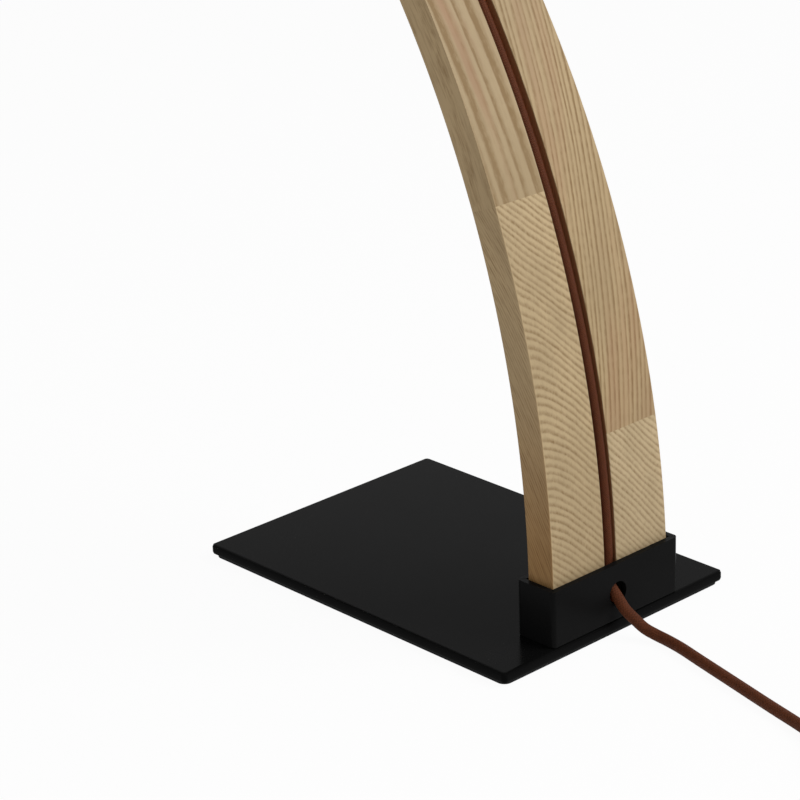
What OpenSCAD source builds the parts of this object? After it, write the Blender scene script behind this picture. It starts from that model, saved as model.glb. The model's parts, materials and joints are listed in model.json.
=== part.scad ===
// Table lamp: a laminated wooden arc stands in a steel socket on a flat steel plate, and a
// shade hangs from the arc's tip on the textile cord that lies in its groove.
// Sizes are millimetres. The origin is the centre of the pad's underside, +Z is up, and the
// arc leans over the plate towards -Y.

/* [Base] */
// Width of the plate, across the arm
plate_w = 163; // [140:1:240]
// Length of the plate, along the lean
plate_l = 224; // [200:1:320]
// Thickness of the plate
plate_t = 6; // [5:0.5:10]
// Radius of the plate's corners in plan
plate_corner = 4; // [2:0.5:12]
// Chamfer on the plate's upper edges
plate_edge = 0.5; // [0.2:0.1:1]
// Thickness of the soft pad under the plate
pad_t = 1.5; // [1:0.1:3]
// Distance of the pad inside the plate's edge
pad_inset = 1.5; // [1:0.5:10]

/* [Socket] */
// Height of the socket above the plate
socket_h = 31; // [29:1:60]
// Wall of the socket
socket_wall = 3.2; // [1.5:0.1:3.4]
// Floor of the socket
socket_floor = 2; // [1.5:0.1:4]
// Inside radius of the socket's upright corners
socket_bend = 0.5; // [0.2:0.1:0.5]
// Outside radius of the socket's upright corners
socket_corner = 2.5; // [1:0.1:3.5]
// Distance of the socket's back face inside the plate's back edge
socket_setback = 0.5; // [0:0.5:20]
// Gap beside and behind the arm in the socket
socket_gap = 0.6; // [0.3:0.1:0.8]
// Gap in front of the arm in the socket
socket_front_gap = 1; // [0.8:0.1:4]
// Diameter of the cord's hole in the socket's back wall
cord_hole_d = 12; // [12:0.5:14]
// Height of the cord's hole above the plate
cord_hole_h = 15; // [14:0.5:16]
// Sideways place of the cord's hole
cord_hole_x = -1; // [-1.5:0.5:1]

/* [Fixings in the foot] */
// Diameter of the foot's countersunk bolts
bolt_d = 5; // [4:0.5:6]
// Diameter of the bolts' heads
bolt_head_d = 10; // [9:0.5:12]
// Length of the bolts
bolt_l = 20; // [16:1:22]
// Distance of each bolt from the middle
bolt_x = 24; // [16:1:30]
// Outside diameter of the threaded inserts
insert_d = 8; // [7.5:0.5:10]
// Length of the threaded inserts
insert_l = 14; // [10:1:20]
// Clearance round bolts and inserts
fixing_gap = 0.2; // [0.1:0.05:0.3]

/* [Arm] */
// Radius of the arc's outer face
arm_r = 576; // [450:1:700]
// Thickness of the arm along the arc's radius
arm_t = 17; // [15:0.5:24]
// Width of the arm at its foot
arm_w = 85; // [76:1:110]
// Width of the arm at its tip
arm_tip_w = 64; // [40:1:76]
// Height of the arc's centre above the plate
arc_rise = 10.5; // [4:0.5:14]
// Arc angle of the left layer's first butt joint
left_joint = 21.25; // [18:0.25:24]
// Arc angle from one butt joint of a layer to its next
block_angle = 25.1; // [22:0.1:28]
// Width of the cord groove
groove_w = 8.5; // [8:0.5:14]
// Depth of the cord groove
groove_d = 6.6; // [6.4:0.1:8]

/* [Cord] */
// Diameter of the textile cord
cord_d = 6; // [5:0.1:6.2]
// Clearance round the cord in grooves and holes
cord_gap = 0.2; // [0.1:0.05:0.3]
// Radius of the cord's bend from the groove to the socket's hole
exit_bend = 10; // [8:0.5:10]
// Slope at which the cord leaves the socket's hole
exit_slope = 45; // [35:1:45]
// Radius of the cord's bend into the hole at the tip
tip_bend = 7.5; // [6:0.5:8]

/* [Cord grip] */
// Distance of the cord's hole from the tip, along the arc
tip_hole_back = 22; // [16:1:40]
// Diameter of the grip's spigot in the arm
grip_spigot_d = 10; // [9.5:0.5:12]
// Length of the grip's spigot
grip_spigot_l = 5; // [3:0.5:6]
// Diameter of the grip's flange
grip_flange_d = 19; // [16:0.5:26]
// Thickness of the grip's flange
grip_flange_t = 2.5; // [2:0.5:5]
// Diameter of the grip's barrel
grip_d = 14; // [12:0.5:15]
// Length of the grip below the arm
grip_l = 13; // [10:0.5:20]
// Diameter of the clamping screws on the cord
clamp_d = 3; // [2.5:0.1:3.5]
// Clearance where a turned piece seats on a curved or threaded one
seat_gap = 0.15; // [0.1:0.05:0.3]

/* [Pendant] */
// Free drop of the cord from the grip to the lampholder
drop = 60; // [40:1:120]
// Clearance between the cord's round ends and what they hang from
hang_gap = 0.3; // [0.3:0.1:0.6]

/* [Lampholder] */
// Diameter of the cord inlet on the cap
inlet_d = 16; // [15:0.5:20]
// Height of the cord inlet
inlet_h = 12; // [10:0.5:16]
// Depth of the inlet's lip below the point where the lampholder tilts
inlet_lip = 1; // [0.5:0.1:2]
// Diameter of the cap
cap_d = 41; // [40:0.5:44]
// Height of the cap below its inlet
cap_h = 26; // [24:1:40]
// Radius of the cap's shoulder
cap_round = 9; // [4:0.5:10]
// Wall of the cap and the body
holder_wall = 2; // [1.5:0.1:2]
// Diameter of the body's flange, over the shade
flange_d = 50; // [46:1:54]
// Thickness of the body's flange
flange_t = 3; // [2:0.5:5]
// Diameter of the body's skirt
skirt_d = 37; // [36.5:0.5:39]
// Length of the body's skirt below the flange
skirt_l = 38; // [34:1:50]
// Height of the body's spigot in the cap
spigot_h = 8; // [5:0.5:12]
// Thickness of the insulating insert
insert_t = 12; // [10:0.5:14]
// Width of the ledge that carries the insert
ledge = 1.5; // [1:0.1:2]
// Length of the screw shell
shell_l = 25; // [22:0.5:28]
// Wall of the screw shell
shell_t = 0.5; // [0.4:0.1:0.6]

/* [Shade] */
// Diameter of the shade at its rim
shade_d = 210; // [180:1:260]
// Height of the shade
shade_h = 106; // [96:1:130]
// Diameter of the shade's flat top
shade_top_d = 54; // [50:1:70]
// Thickness of the shade
shade_t = 1.2; // [0.8:0.1:2]
// Radius of the bead round the rim
bead_r = 1.5; // [1.2:0.1:3]
// Diameter of the ring under the shade
ring_d = 52; // [48:0.5:54]
// Height of the ring
ring_h = 10; // [8:0.5:14]
// Number of grip flutes round the ring
ring_flutes = 24; // [12:2:36]

/* [Bulb] */
// Diameter of the bulb's glass ball
bulb_d = 45; // [40:1:60]
// Length of the bulb from its contact to the ball's end
bulb_l = 76; // [70:1:90]
// Diameter of the bulb's screw cap
bulb_cap_d = 26; // [25.5:0.1:26.4]
// Length of the bulb's screw cap
bulb_cap_l = 24; // [20:1:26]
// Thickness of the glass
glass_t = 1; // [0.8:0.1:2]

/* [Switch] */
// Length of the cord switch
switch_l = 60; // [54:1:76]
// Width of the cord switch
switch_w = 24; // [22:1:30]
// Height of the cord switch
switch_h = 18; // [17:0.5:22]
// Radius of the switch's bowed sides in plan
switch_curve = 80; // [76:1:140]
// Radius of the switch's crowned top
switch_crown = 96; // [90:1:160]
// Height of the cord, and of the seam between the two shells
switch_seam = 7.5; // [7:0.5:8]
// Length of the rocker
rocker_l = 18; // [16:0.5:22]
// Width of the rocker
rocker_w = 10.4; // [9:0.1:12]
// Tilt of the rocker to either side
rocker_tilt = 9; // [6:0.5:10]
// Diameter of the rocker's trunnions
trunnion_d = 2.4; // [2:0.1:3]
// Radial clearance of the trunnions
trunnion_gap = 0.05; // [0.03:0.01:0.08]
// Clearance round the rocker
rocker_gap = 0.5; // [0.4:0.1:0.8]
// Diameter of the shells' screws
shell_screw_d = 2.5; // [2:0.1:3]

/* [Coil and plug] */
// Number of turns in the coil
coil_turns = 7.5; // [5.5:1:9.5]
// Radius of the coil's outer turn
coil_r = 37; // [35:1:60]
// Gap between neighbouring turns
coil_gap = 0.6; // [0.5:0.05:1]
// Width of the tie round the coil
tie_w = 9; // [6:0.5:14]
// Thickness of the tie
tie_t = 0.8; // [0.6:0.1:1.5]
// Clearance inside the tie
tie_gap = 0.3; // [0.3:0.05:0.6]
// Width of the plug's face
plug_w = 35; // [33:0.5:40]
// Thickness of the plug
plug_t = 13.5; // [13:0.1:15]
// Length of the plug's body
plug_l = 36; // [32:1:42]
// Diameter of the plug's pins
pin_d = 4; // [4:0.1:4.8]
// Length of the pins outside the plug
pin_l = 19; // [18:0.5:20]
// Distance between the pins
pin_spacing = 18.6; // [17:0.1:19]
// Length of the plug's strain relief
relief_l = 20; // [16:1:30]

/* [Hidden] */

$fa = 1;
$fs = 0.4;
// Overshoot of cutting shapes
cut = 1;
// Facets of a full turn on the large radii
large_fn = 360;

black_steel = "#1d1d1e";
black_plastic = "#18181a";
pale_ash = "#c9b48c";
brown_ash = "#b89a70";
brown_cord = "#3a2117";
dull_brass = "#8a7444";
bright_metal = "#b9bcc0";
cream_moulding = "#e6e2d8";
opal_glass = "#f4f1e8";

// Heights in the foot
plate_top = pad_t + plate_t;
foot_z = plate_top + socket_floor;

// The arc: its axis runs along X through [arc_y, arc_z]
arm_back_y = plate_l / 2 - socket_setback - socket_wall - socket_gap;
arc_y = arm_back_y - arm_r;
arc_z = plate_top + arc_rise;
arm_in_r = arm_r - arm_t;
// The blocks start below the foot, where the taper cuts them level
foot_angle = -4;
tip_angle = left_joint + 2 * block_angle;
right_joint = left_joint - block_angle / 2;
tip_z = arc_z + arm_r * sin(tip_angle);
function arm_half_w(z) =
    arm_w / 2 - (arm_w - arm_tip_w) / 2 * (z - foot_z) / (tip_z - foot_z);

// The socket round the arm's foot
socket_back_y = plate_l / 2 - socket_setback;
socket_front_y = arm_back_y - arm_t - socket_front_gap - socket_wall;
socket_l = socket_back_y - socket_front_y;
socket_y = (socket_back_y + socket_front_y) / 2;
socket_w = arm_w + 2 * (socket_gap + socket_wall);
bolt_y = arm_back_y - arm_t / 2;
// Straight rim of a bolt's head, and the countersunk height above it
bolt_land = 0.5;
bolt_cone_h = (bolt_head_d - bolt_d) / 2;

// The cord in the groove, its bend to the socket's hole and its bend at the tip
cord_r = cord_d / 2;
bore_d = cord_d + 2 * cord_gap;
cord_arc_r = arm_r - groove_d + cord_gap + cord_r;
cord_hole_z = plate_top + cord_hole_h;
wall_mid_y = socket_back_y - socket_wall / 2;
// Straight cord beyond the middle of the socket's wall
exit_run = 4;
// Depth of the pocket in the arm, behind the socket's hole, where the cord turns
exit_pocket = 5;
exit_turn = 270 - exit_slope;
exit_bend_y = arc_y + cord_arc_r + exit_bend;
exit_end_y = exit_bend_y + exit_bend * cos(exit_turn);
exit_drop = (wall_mid_y - exit_end_y) * tan(exit_slope);
exit_bend_z = cord_hole_z + exit_drop - exit_bend * sin(exit_turn);
exit_angle = asin((exit_bend_z - arc_z) / (cord_arc_r + exit_bend));
exit_centre = [
    arc_y + (cord_arc_r + exit_bend) * cos(exit_angle),
    arc_z + (cord_arc_r + exit_bend) * sin(exit_angle)
];
exit_end = exit_centre + exit_bend * [cos(exit_turn), sin(exit_turn)];
exit_l = (wall_mid_y - exit_end[0]) / cos(exit_slope) + exit_run;
exit_point = [
    0,
    exit_end[0] + exit_l * cos(exit_slope),
    exit_end[1] - exit_l * sin(exit_slope)
];
tip_hole_angle = tip_angle - tip_hole_back / arm_r * 180 / PI;
tip_bend_h = sqrt(pow(cord_arc_r - tip_bend, 2) - pow(tip_bend, 2));
tip_bend_turn = asin(tip_bend / (cord_arc_r - tip_bend));
tip_centre = [
    arc_y + tip_bend_h * cos(tip_hole_angle) + tip_bend * sin(tip_hole_angle),
    arc_z + tip_bend_h * sin(tip_hole_angle) - tip_bend * cos(tip_hole_angle)
];
// A pocket ends the groove, a little wider and deeper than it, and a ramp leads into the hole
pocket_d = groove_w + 2;
pocket_step = 0.4;
pocket_z = arm_r - groove_d - pocket_step;
ramp_h = 4.2;
ramp_z = arm_r - groove_d - ramp_h;
ramp_w = (groove_w + bore_d) / 2;
// Reach of the ramp's level foot before and behind the hole's axis
ramp_start = 2.6;
ramp_back = 1.6;
grip_mouth_r = arm_in_r - seat_gap - grip_l;
grip_clamp_r = grip_mouth_r + (grip_l - grip_flange_t) / 2;
// Side of the square that bevels the grip's mouth
grip_bevel = 2;

// The pendant hangs from drop_top, and its lampholder tilts at drop_end
drop_r = grip_mouth_r - cord_r - hang_gap;
drop_top = [
    0,
    arc_y + drop_r * cos(tip_hole_angle),
    arc_z + drop_r * sin(tip_hole_angle)
];
drop_end = drop_top - [0, 0, drop];

// Heights in the lampholder, from drop_end
inlet_top = -inlet_lip;
inlet_bore_r = cord_r + hang_gap;
cap_top = inlet_top - inlet_h;
cap_foot = cap_top - cap_h;
inlet_clamp_z = cap_top + inlet_h / 3;
seat_z = cap_foot - flange_t;
insert_foot = cap_foot + spigot_h - insert_t;
skirt_foot = seat_z - skirt_l;
body_bore_r = skirt_d / 2 - holder_wall;
shell_r = bulb_cap_d / 2 + seat_gap * 2 + shell_t;
contact_d = 9;
contact_w = 4;
contact_t = 3;
contact_foot = insert_foot - contact_t;
bulb_cap_foot = contact_foot - bulb_cap_l;
bulb_tip_d = 9;
bulb_tip_l = 2;
// Step from the bulb's cap to its neck
neck_inset = 0.5;
ball_z = contact_foot - bulb_l + bulb_d / 2;
shade_rim = seat_z - shade_h;
shade_hole_r = skirt_d / 2 + seat_gap;
dome_reach = (shade_d - shade_top_d) / 2;
dome_r = (pow(dome_reach, 2) + pow(shade_h, 2)) / (2 * dome_reach);
flute_r = 2;
flute_depth = 1;
// Plain lip of the ring above its flutes
ring_lip = 2;
terminal_x = 9;
terminal_l = 4.5;
terminal_head_h = 2;

// The cord switch lies on the floor along Y
switch_at = [24, 302];
switch_floor = 2;
// Depth of the rocker's axis below the crown, and the rocker's section about it
rocker_depth = 4.2;
rocker_z = switch_h - rocker_depth;
rocker_top = 4.4;
rocker_dip = 1.2;
rocker_nose = 4.4;
rocker_nose_w = 6;
rocker_reach = rocker_l / 2 * cos(rocker_tilt) + rocker_top * sin(rocker_tilt);
rocker_slot_l = 2 * (rocker_reach + rocker_gap);
rocker_slot_w = rocker_w + 2 * rocker_gap;
trunnion_seat = 2.5;
trunnion_l = rocker_slot_w + 2 * trunnion_seat;
switch_contact_l = 6;
switch_contact_h = 4.5;
switch_contact_y = 5;
shell_screw_inset = 15;
shell_screw_y = switch_l / 2 - shell_screw_inset;
shell_screw_recess = 0.5;
shell_screw_grip = 3.5;
// Depth of the cord in the switch's ends
entry_l = 6;

// The coil stands on its tie: four layers that spiral in and out by turns
coil_layers = 4;
coil_pitch = cord_d + coil_gap;
layer_turns = coil_turns / coil_layers;
coil_in_r = coil_r - coil_pitch * layer_turns;
coil_z = tie_t + tie_gap + cord_r;
coil_at = [switch_at[0] - coil_r, 378];
coil_rings = 24;
coil_sides = 6;
coil_top_z = coil_z + (coil_layers - 1) * coil_pitch;
tie_angle = 135;
tie_bend = 2;

// The plug lies beside the coil with its pins towards -Y
plug_at = [-52, 252];
plug_back_y = plug_at[1] + plug_l / 2;
plug_front_y = plug_at[1] - plug_l / 2;
plug_z = plug_t / 2;
plug_side_l = 14;
plug_round = 4.5;
pin_root_l = 10;
// Step from a pin down to its root in the plug, and the clearance round the root
pin_step = 0.3;
pin_gap = 0.05;
pin_root_d = pin_d - 2 * pin_step;
// Walls of the strain relief round the cord: at the plug, at its free end and under its cuts
relief_root_t = 2.5;
relief_end_t = 1.5;
relief_core_t = 1;
relief_cuts = 4;
relief_cut_w = 1.5;

// Points of a bend in the plane of the arc, about a centre [y, z]
function bend_points(centre, r, from, to, steps) = [
    for (i = [0 : steps])
        let (a = from + (to - from) * i / steps)
        [0, centre[0] + r * cos(a), centre[1] + r * sin(a)]
];
// Route of the cord that the arm holds, from the socket's hole to the grip's mouth
arm_cord_route = concat(
    [exit_point],
    bend_points(exit_centre, exit_bend, exit_turn, 180 + exit_angle, 6),
    bend_points([arc_y, arc_z], cord_arc_r, exit_angle + 1, tip_hole_angle - tip_bend_turn - 1, 48),
    bend_points(tip_centre, tip_bend, tip_hole_angle - tip_bend_turn, tip_hole_angle + 90, 8),
    [[
        0,
        arc_y + grip_mouth_r * cos(tip_hole_angle),
        arc_z + grip_mouth_r * sin(tip_hole_angle)
    ]]
);

// Routes of the cord's free stretches, chosen by hand
lead_route = concat([exit_point], [
    [-0.2, 117, 15.1], [-2, 121.4, 10.8], [-4.3, 126.4, 6.3], [-6, 132.6, 4.1], [-6.6, 140, 3.1],
    [-4.9, 151, 3], [-1.5, 165, 3], [2.5, 182, 3], [7, 201, 3], [11.5, 220, 3], [15.5, 238, 3],
    [19.5, 252, 3.8], [22.5, 263, 6], [switch_at[0], 271, 7.4],
    [switch_at[0], switch_at[1] - switch_l / 2 + entry_l, switch_seam]
]);
link_route = [
    [switch_at[0], switch_at[1] + switch_l / 2 - entry_l, switch_seam],
    [switch_at[0], 334, switch_seam], [switch_at[0], 344, 6.6], [switch_at[0], 356, 5],
    [switch_at[0], 366, coil_z], [switch_at[0], coil_at[1] - cord_d, coil_z]
];
tail_route = [
    [coil_at[0] - coil_r, coil_at[1] - cord_d, coil_top_z],
    [-50, 360, coil_top_z], [-50.5, 346, coil_top_z - 1], [-51, 330, 19], [-51.5, 315, 12.5],
    [-52, 302, 8], [plug_at[0], 292, plug_z], [plug_at[0], plug_back_y, plug_z]
];

function unit(v) = v / norm(v);
function heading(path, i) = unit(path[min(i + 1, len(path) - 1)] - path[max(i - 1, 0)]);
function between(p, i, t) =
    let (
        a = p[max(i - 1, 0)],
        b = p[i],
        c = p[i + 1],
        d = p[min(i + 2, len(p) - 1)]
    )
    (2 * b + (c - a) * t + (2 * a - 5 * b + 4 * c - d) * t * t
        + (3 * b - a - 3 * c + d) * t * t * t) / 2;
// Two steps between neighbouring points of a hand-chosen route
function eased(p) = concat(
    [for (i = [0 : len(p) - 2]) for (t = [0, 0.5]) between(p, i, t)], [p[len(p) - 1]]);

// Share of a layer climbed, from 0 to 1
function climbed(x) = let (c = min(max(x, 0), 1)) c * c * (3 - 2 * c);
function layer_share(t) = let (s = t / layer_turns, k = floor(s)) k % 2 == 0 ? s - k : 1 - s + k;
function coil_point(t) =
    let (
        r = coil_r - coil_pitch * layer_turns * layer_share(t),
        steps = [for (k = [1 : coil_layers - 1]) climbed(2 * (t - k * layer_turns) + 0.5)],
        rise = steps * [for (s = steps) 1]
    )
    [coil_at[0] + r * cos(360 * t), coil_at[1] + r * sin(360 * t), coil_z + coil_pitch * rise];
coil_loops = [for (i = [0 : coil_turns * coil_rings]) coil_point(i / coil_rings)];
coil_route = concat(
    [coil_loops[0] - [0, cord_d, 0]], coil_loops, [coil_loops[len(coil_loops) - 1] - [0, cord_d, 0]]);

// Least gap between turns, between points at least half a turn apart along the cord
coil_least_gap = min([
    for (i = [0 : len(coil_loops) - 1])
        for (j = [i + coil_rings / 2 : 1 : len(coil_loops) - 1])
            norm(coil_loops[i] - coil_loops[j]) - cord_d
]);
echo(str("Least gap between the coil's turns: ", coil_least_gap, " mm"));

// Length of a route
function route_l(p) = let (steps = [for (i = [1 : len(p) - 1]) norm(p[i] - p[i - 1])])
    steps * [for (s = steps) 1];
echo(str("Free cord: to the switch ", route_l(eased(lead_route)), " mm, from the switch ",
    route_l(eased(link_route)) + route_l(coil_route) + route_l(eased(tail_route)), " mm"));

// A round tube of triangles along a path that never runs along the given direction
module tube(path, sides, up = [0, 0, 1]) {
    last = len(path) - 1;
    points = [
        for (i = [0 : last])
            let (
                h = heading(path, i),
                s = unit(cross(h, up)),
                u = cross(s, h)
            )
            for (k = [0 : sides - 1])
                path[i] + cord_r * (cos(360 * k / sides) * s + sin(360 * k / sides) * u)
    ];
    walls = [
        for (i = [0 : last - 1])
            for (k = [0 : sides - 1])
                let (
                    a = i * sides + k,
                    b = i * sides + (k + 1) % sides
                )
                each [[a, b, b + sides], [a, b + sides, a + sides]]
    ];
    ends = [
        for (k = [1 : sides - 2])
            each [[0, k + 1, k], [last * sides, last * sides + k, last * sides + k + 1]]
    ];
    polyhedron(points, concat(walls, ends), convexity = 10);
}

module rounded_rect(w, l, r) {
    square([w - 2 * r, l], center = true);
    square([w, l - 2 * r], center = true);
    for (x = [-1, 1])
        for (y = [-1, 1])
            translate([x * (w / 2 - r), y * (l / 2 - r)]) circle(r);
}

// Turns a profile of [distance from the arc's axis, place across the arm] along the arc
module along_arc(from, to)
    translate([0, arc_y, arc_z])
        rotate([90, 0, 90])
            rotate([0, 0, from])
                rotate_extrude(angle = to - from, $fn = large_fn) children();

// Puts a piece on the arc's radius through the tip's hole, with Z as the radius
module at_tip()
    translate([0, arc_y, arc_z]) rotate([tip_hole_angle - 90, 0, 0]) children();

module at_head() translate(drop_end) children();

module at_switch() translate([switch_at[0], switch_at[1], 0]) children();

// Base

module edge_profile(w)
    polygon([
        [-w / 2, 0], [w / 2, 0], [w / 2, plate_t - plate_edge], [w / 2 - plate_edge, plate_t],
        [plate_edge - w / 2, plate_t], [-w / 2, plate_t - plate_edge]
    ]);

module base_plate() color(black_steel)
    difference() {
        translate([0, 0, pad_t])
            intersection() {
                linear_extrude(plate_t) rounded_rect(plate_w, plate_l, plate_corner);
                translate([0, plate_l / 2, 0])
                    rotate([90, 0, 0]) linear_extrude(plate_l) edge_profile(plate_w);
                translate([-plate_w / 2, 0, 0])
                    rotate([90, 0, 90]) linear_extrude(plate_w) edge_profile(plate_l);
            }
        for (side = [-1, 1])
            at_bolt(side) {
                cylinder(d = bolt_d + 2 * fixing_gap, h = foot_z);
                translate([0, 0, pad_t]) bolt_head(fixing_gap, cut);
            }
    }

module base_pad() color(black_plastic)
    linear_extrude(pad_t)
        rounded_rect(plate_w - 2 * pad_inset, plate_l - 2 * pad_inset, plate_corner);

module arm_socket() color(black_steel)
    difference() {
        translate([0, socket_y, plate_top])
            linear_extrude(socket_h) rounded_rect(socket_w, socket_l, socket_corner);
        translate([0, socket_y, foot_z])
            linear_extrude(socket_h)
                rounded_rect(socket_w - 2 * socket_wall, socket_l - 2 * socket_wall, socket_bend);
        translate([cord_hole_x, socket_back_y + cut, cord_hole_z])
            rotate([90, 0, 0]) cylinder(d = cord_hole_d, h = socket_wall + 2 * cut);
        for (side = [-1, 1])
            at_bolt(side) cylinder(d = bolt_d + 2 * fixing_gap, h = foot_z + cut);
    }

// Fixings

module at_bolt(side) translate([side * bolt_x, bolt_y, 0]) children();

// Countersunk head, widened all round by a clearance, with its rim drawn out below
module bolt_head(gap, below) {
    translate([0, 0, -below]) cylinder(d = bolt_head_d + 2 * gap, h = bolt_land + below);
    translate([0, 0, bolt_land])
        cylinder(d1 = bolt_head_d + 2 * gap, d2 = bolt_d + 2 * gap, h = bolt_cone_h);
}

module foot_bolt(side) color(bright_metal)
    at_bolt(side)
        translate([0, 0, pad_t]) {
            bolt_head(0, 0);
            cylinder(d = bolt_d, h = bolt_l);
        }

module foot_insert(side) color(dull_brass)
    at_bolt(side)
        translate([0, 0, foot_z])
            difference() {
                cylinder(d = insert_d, h = insert_l);
                translate([0, 0, -cut]) cylinder(d = bolt_d + fixing_gap, h = insert_l + 2 * cut);
            }

module insert_hole(side)
    at_bolt(side)
        translate([0, 0, foot_z - cut]) cylinder(d = insert_d + fixing_gap, h = insert_l + 2 * cut);

// Arm

// The arm's tapering width, cut level at the foot
module arm_taper() {
    low = arm_half_w(foot_z);
    high = arm_half_w(tip_z + cut);
    translate([0, plate_l, 0])
        rotate([90, 0, 0])
            linear_extrude(2 * arm_r)
                polygon([[-low, foot_z], [low, foot_z], [high, tip_z + cut], [-high, tip_z + cut]]);
}

module groove() {
    along_arc(foot_angle - 1, tip_hole_angle)
        translate([arm_r - groove_d, -groove_w / 2]) square([groove_d + cut, groove_w]);
    at_tip() translate([0, 0, pocket_z]) cylinder(d = pocket_d, h = groove_d + pocket_step + cut);
}

// The pocket behind the socket's hole
module exit_hole()
    translate([cord_hole_x, arm_back_y + cut, cord_hole_z])
        rotate([90, 0, 0]) cylinder(d = cord_hole_d, h = exit_pocket + cut);

// One block of the left (+1) or right (-1) layer
module arm_block(side, from, to)
    difference() {
        intersection() {
            along_arc(from, to)
                translate([arm_in_r, side > 0 ? 0 : -arm_w]) square([arm_t, arm_w]);
            arm_taper();
        }
        groove();
    }

// The cord's hole through the tip, the grip's seat in it and the ramp that leads the cord in
module tip_hole()
    at_tip() {
        translate([0, 0, arm_in_r - cut])
            cylinder(d = grip_spigot_d + 2 * seat_gap, h = grip_spigot_l + cut);
        translate([0, 0, arm_in_r]) cylinder(d = bore_d, h = arm_t);
        translate([-ramp_w / 2, 0, 0])
            rotate([90, 0, 90])
                linear_extrude(ramp_w)
                    polygon([
                        [-ramp_back, ramp_z], [ramp_start, ramp_z],
                        [ramp_start + ramp_h + cut, ramp_z + ramp_h + cut],
                        [-ramp_back, ramp_z + ramp_h + cut]
                    ]);
    }

module arm_left_lower() color(pale_ash)
    difference() {
        arm_block(1, foot_angle, left_joint);
        insert_hole(1);
        exit_hole();
    }

module arm_left_middle() color(brown_ash)
    arm_block(1, left_joint, left_joint + block_angle);

module arm_left_upper() color(pale_ash)
    difference() {
        arm_block(1, left_joint + block_angle, tip_angle);
        tip_hole();
    }

module arm_right_foot() color(pale_ash)
    difference() {
        arm_block(-1, foot_angle, right_joint);
        insert_hole(-1);
        exit_hole();
    }

module arm_right_lower() color(pale_ash)
    arm_block(-1, right_joint, right_joint + block_angle);

module arm_right_upper() color(brown_ash)
    arm_block(-1, right_joint + block_angle, right_joint + 2 * block_angle);

module arm_right_tip() color(pale_ash)
    difference() {
        arm_block(-1, right_joint + 2 * block_angle, tip_angle);
        tip_hole();
    }

// Cord in the arm

module arm_cord() color(brown_cord) tube(arm_cord_route, 8, [1, 0, 0]);

module cord_grip() color(black_steel)
    at_tip()
        difference() {
            rotate_extrude()
                difference() {
                    union() {
                        translate([0, grip_mouth_r]) square([grip_d / 2, grip_l]);
                        translate([0, arm_in_r - seat_gap - grip_flange_t])
                            square([grip_flange_d / 2, grip_flange_t]);
                        translate([0, arm_in_r - seat_gap - cut])
                            square([grip_spigot_d / 2, grip_spigot_l + cut]);
                    }
                    translate([0, grip_mouth_r - cut])
                        square([bore_d / 2, grip_l + grip_spigot_l + 2 * cut]);
                    translate([bore_d / 2, grip_mouth_r]) rotate(45) square(grip_bevel, center = true);
                    translate([grip_d / 2, grip_mouth_r]) rotate(45) square(grip_bevel, center = true);
                }
            translate([0, 0, grip_clamp_r])
                rotate([0, 90, 0]) cylinder(d = clamp_d + 2 * seat_gap, h = grip_d);
        }

module grip_screw() color(bright_metal)
    at_tip() translate([cord_r + seat_gap, 0, grip_clamp_r])
        rotate([0, 90, 0]) cylinder(d = clamp_d, h = grip_d / 2 - cord_r - seat_gap);

// Pendant

module pendant_cord() color(brown_cord) {
    translate(drop_top) sphere(d = cord_d);
    translate(drop_end) cylinder(d = cord_d, h = drop);
    translate(drop_end) sphere(d = cord_d);
}

module holder_cap() color(black_plastic)
    at_head()
        difference() {
            rotate_extrude()
                difference() {
                    cap_outline(0);
                    difference() {
                        cap_outline(holder_wall);
                        translate([0, cap_top - holder_wall]) square([cap_d, inlet_h + cap_d]);
                    }
                    translate([0, cap_foot]) square([inlet_bore_r, inlet_h + cap_h + cut]);
                }
            translate([0, 0, inlet_clamp_z])
                rotate([0, 90, 0]) cylinder(d = clamp_d + 2 * seat_gap, h = inlet_d);
        }

// Half section of the cap, drawn in by a wall
module cap_outline(wall) {
    r = cap_d / 2 - wall;
    round_r = cap_round - wall;
    translate([0, cap_foot - wall]) square([r, cap_h - round_r]);
    translate([0, cap_foot]) square([r - round_r, cap_h - wall]);
    translate([r - round_r, cap_top - wall - round_r]) circle(round_r);
    translate([0, cap_top - cut]) square([inlet_d / 2, inlet_h + cut]);
}

module cap_screw() color(bright_metal)
    at_head() translate([inlet_bore_r, 0, inlet_clamp_z])
        rotate([0, 90, 0]) cylinder(d = clamp_d, h = inlet_d / 2 - inlet_bore_r);

module holder_body() color(black_plastic)
    at_head()
        rotate_extrude()
            difference() {
                union() {
                    translate([0, skirt_foot]) square([skirt_d / 2, skirt_l + flange_t]);
                    translate([0, seat_z]) square([flange_d / 2, flange_t]);
                    translate([0, cap_foot - cut])
                        square([cap_d / 2 - holder_wall - seat_gap, spigot_h + cut]);
                }
                translate([0, insert_foot]) square([body_bore_r, cap_d]);
                translate([0, skirt_foot - cut])
                    square([body_bore_r - ledge, insert_foot - skirt_foot + 2 * cut]);
            }

module holder_insert() color(cream_moulding)
    at_head()
        difference() {
            translate([0, 0, insert_foot]) cylinder(r = body_bore_r - seat_gap, h = insert_t);
            for (side = [-1, 1]) terminal_hole(side);
        }

module terminal_hole(side)
    translate([side * terminal_x, 0, insert_foot + insert_t - terminal_l - seat_gap])
        cylinder(d = clamp_d + 2 * seat_gap, h = terminal_l + seat_gap + cut);

module terminal_screw(side) color(dull_brass)
    at_head() translate([side * terminal_x, 0, insert_foot + insert_t]) {
        translate([0, 0, -terminal_l]) cylinder(d = clamp_d, h = terminal_l);
        cylinder(d = 2 * clamp_d, h = terminal_head_h);
    }

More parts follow.
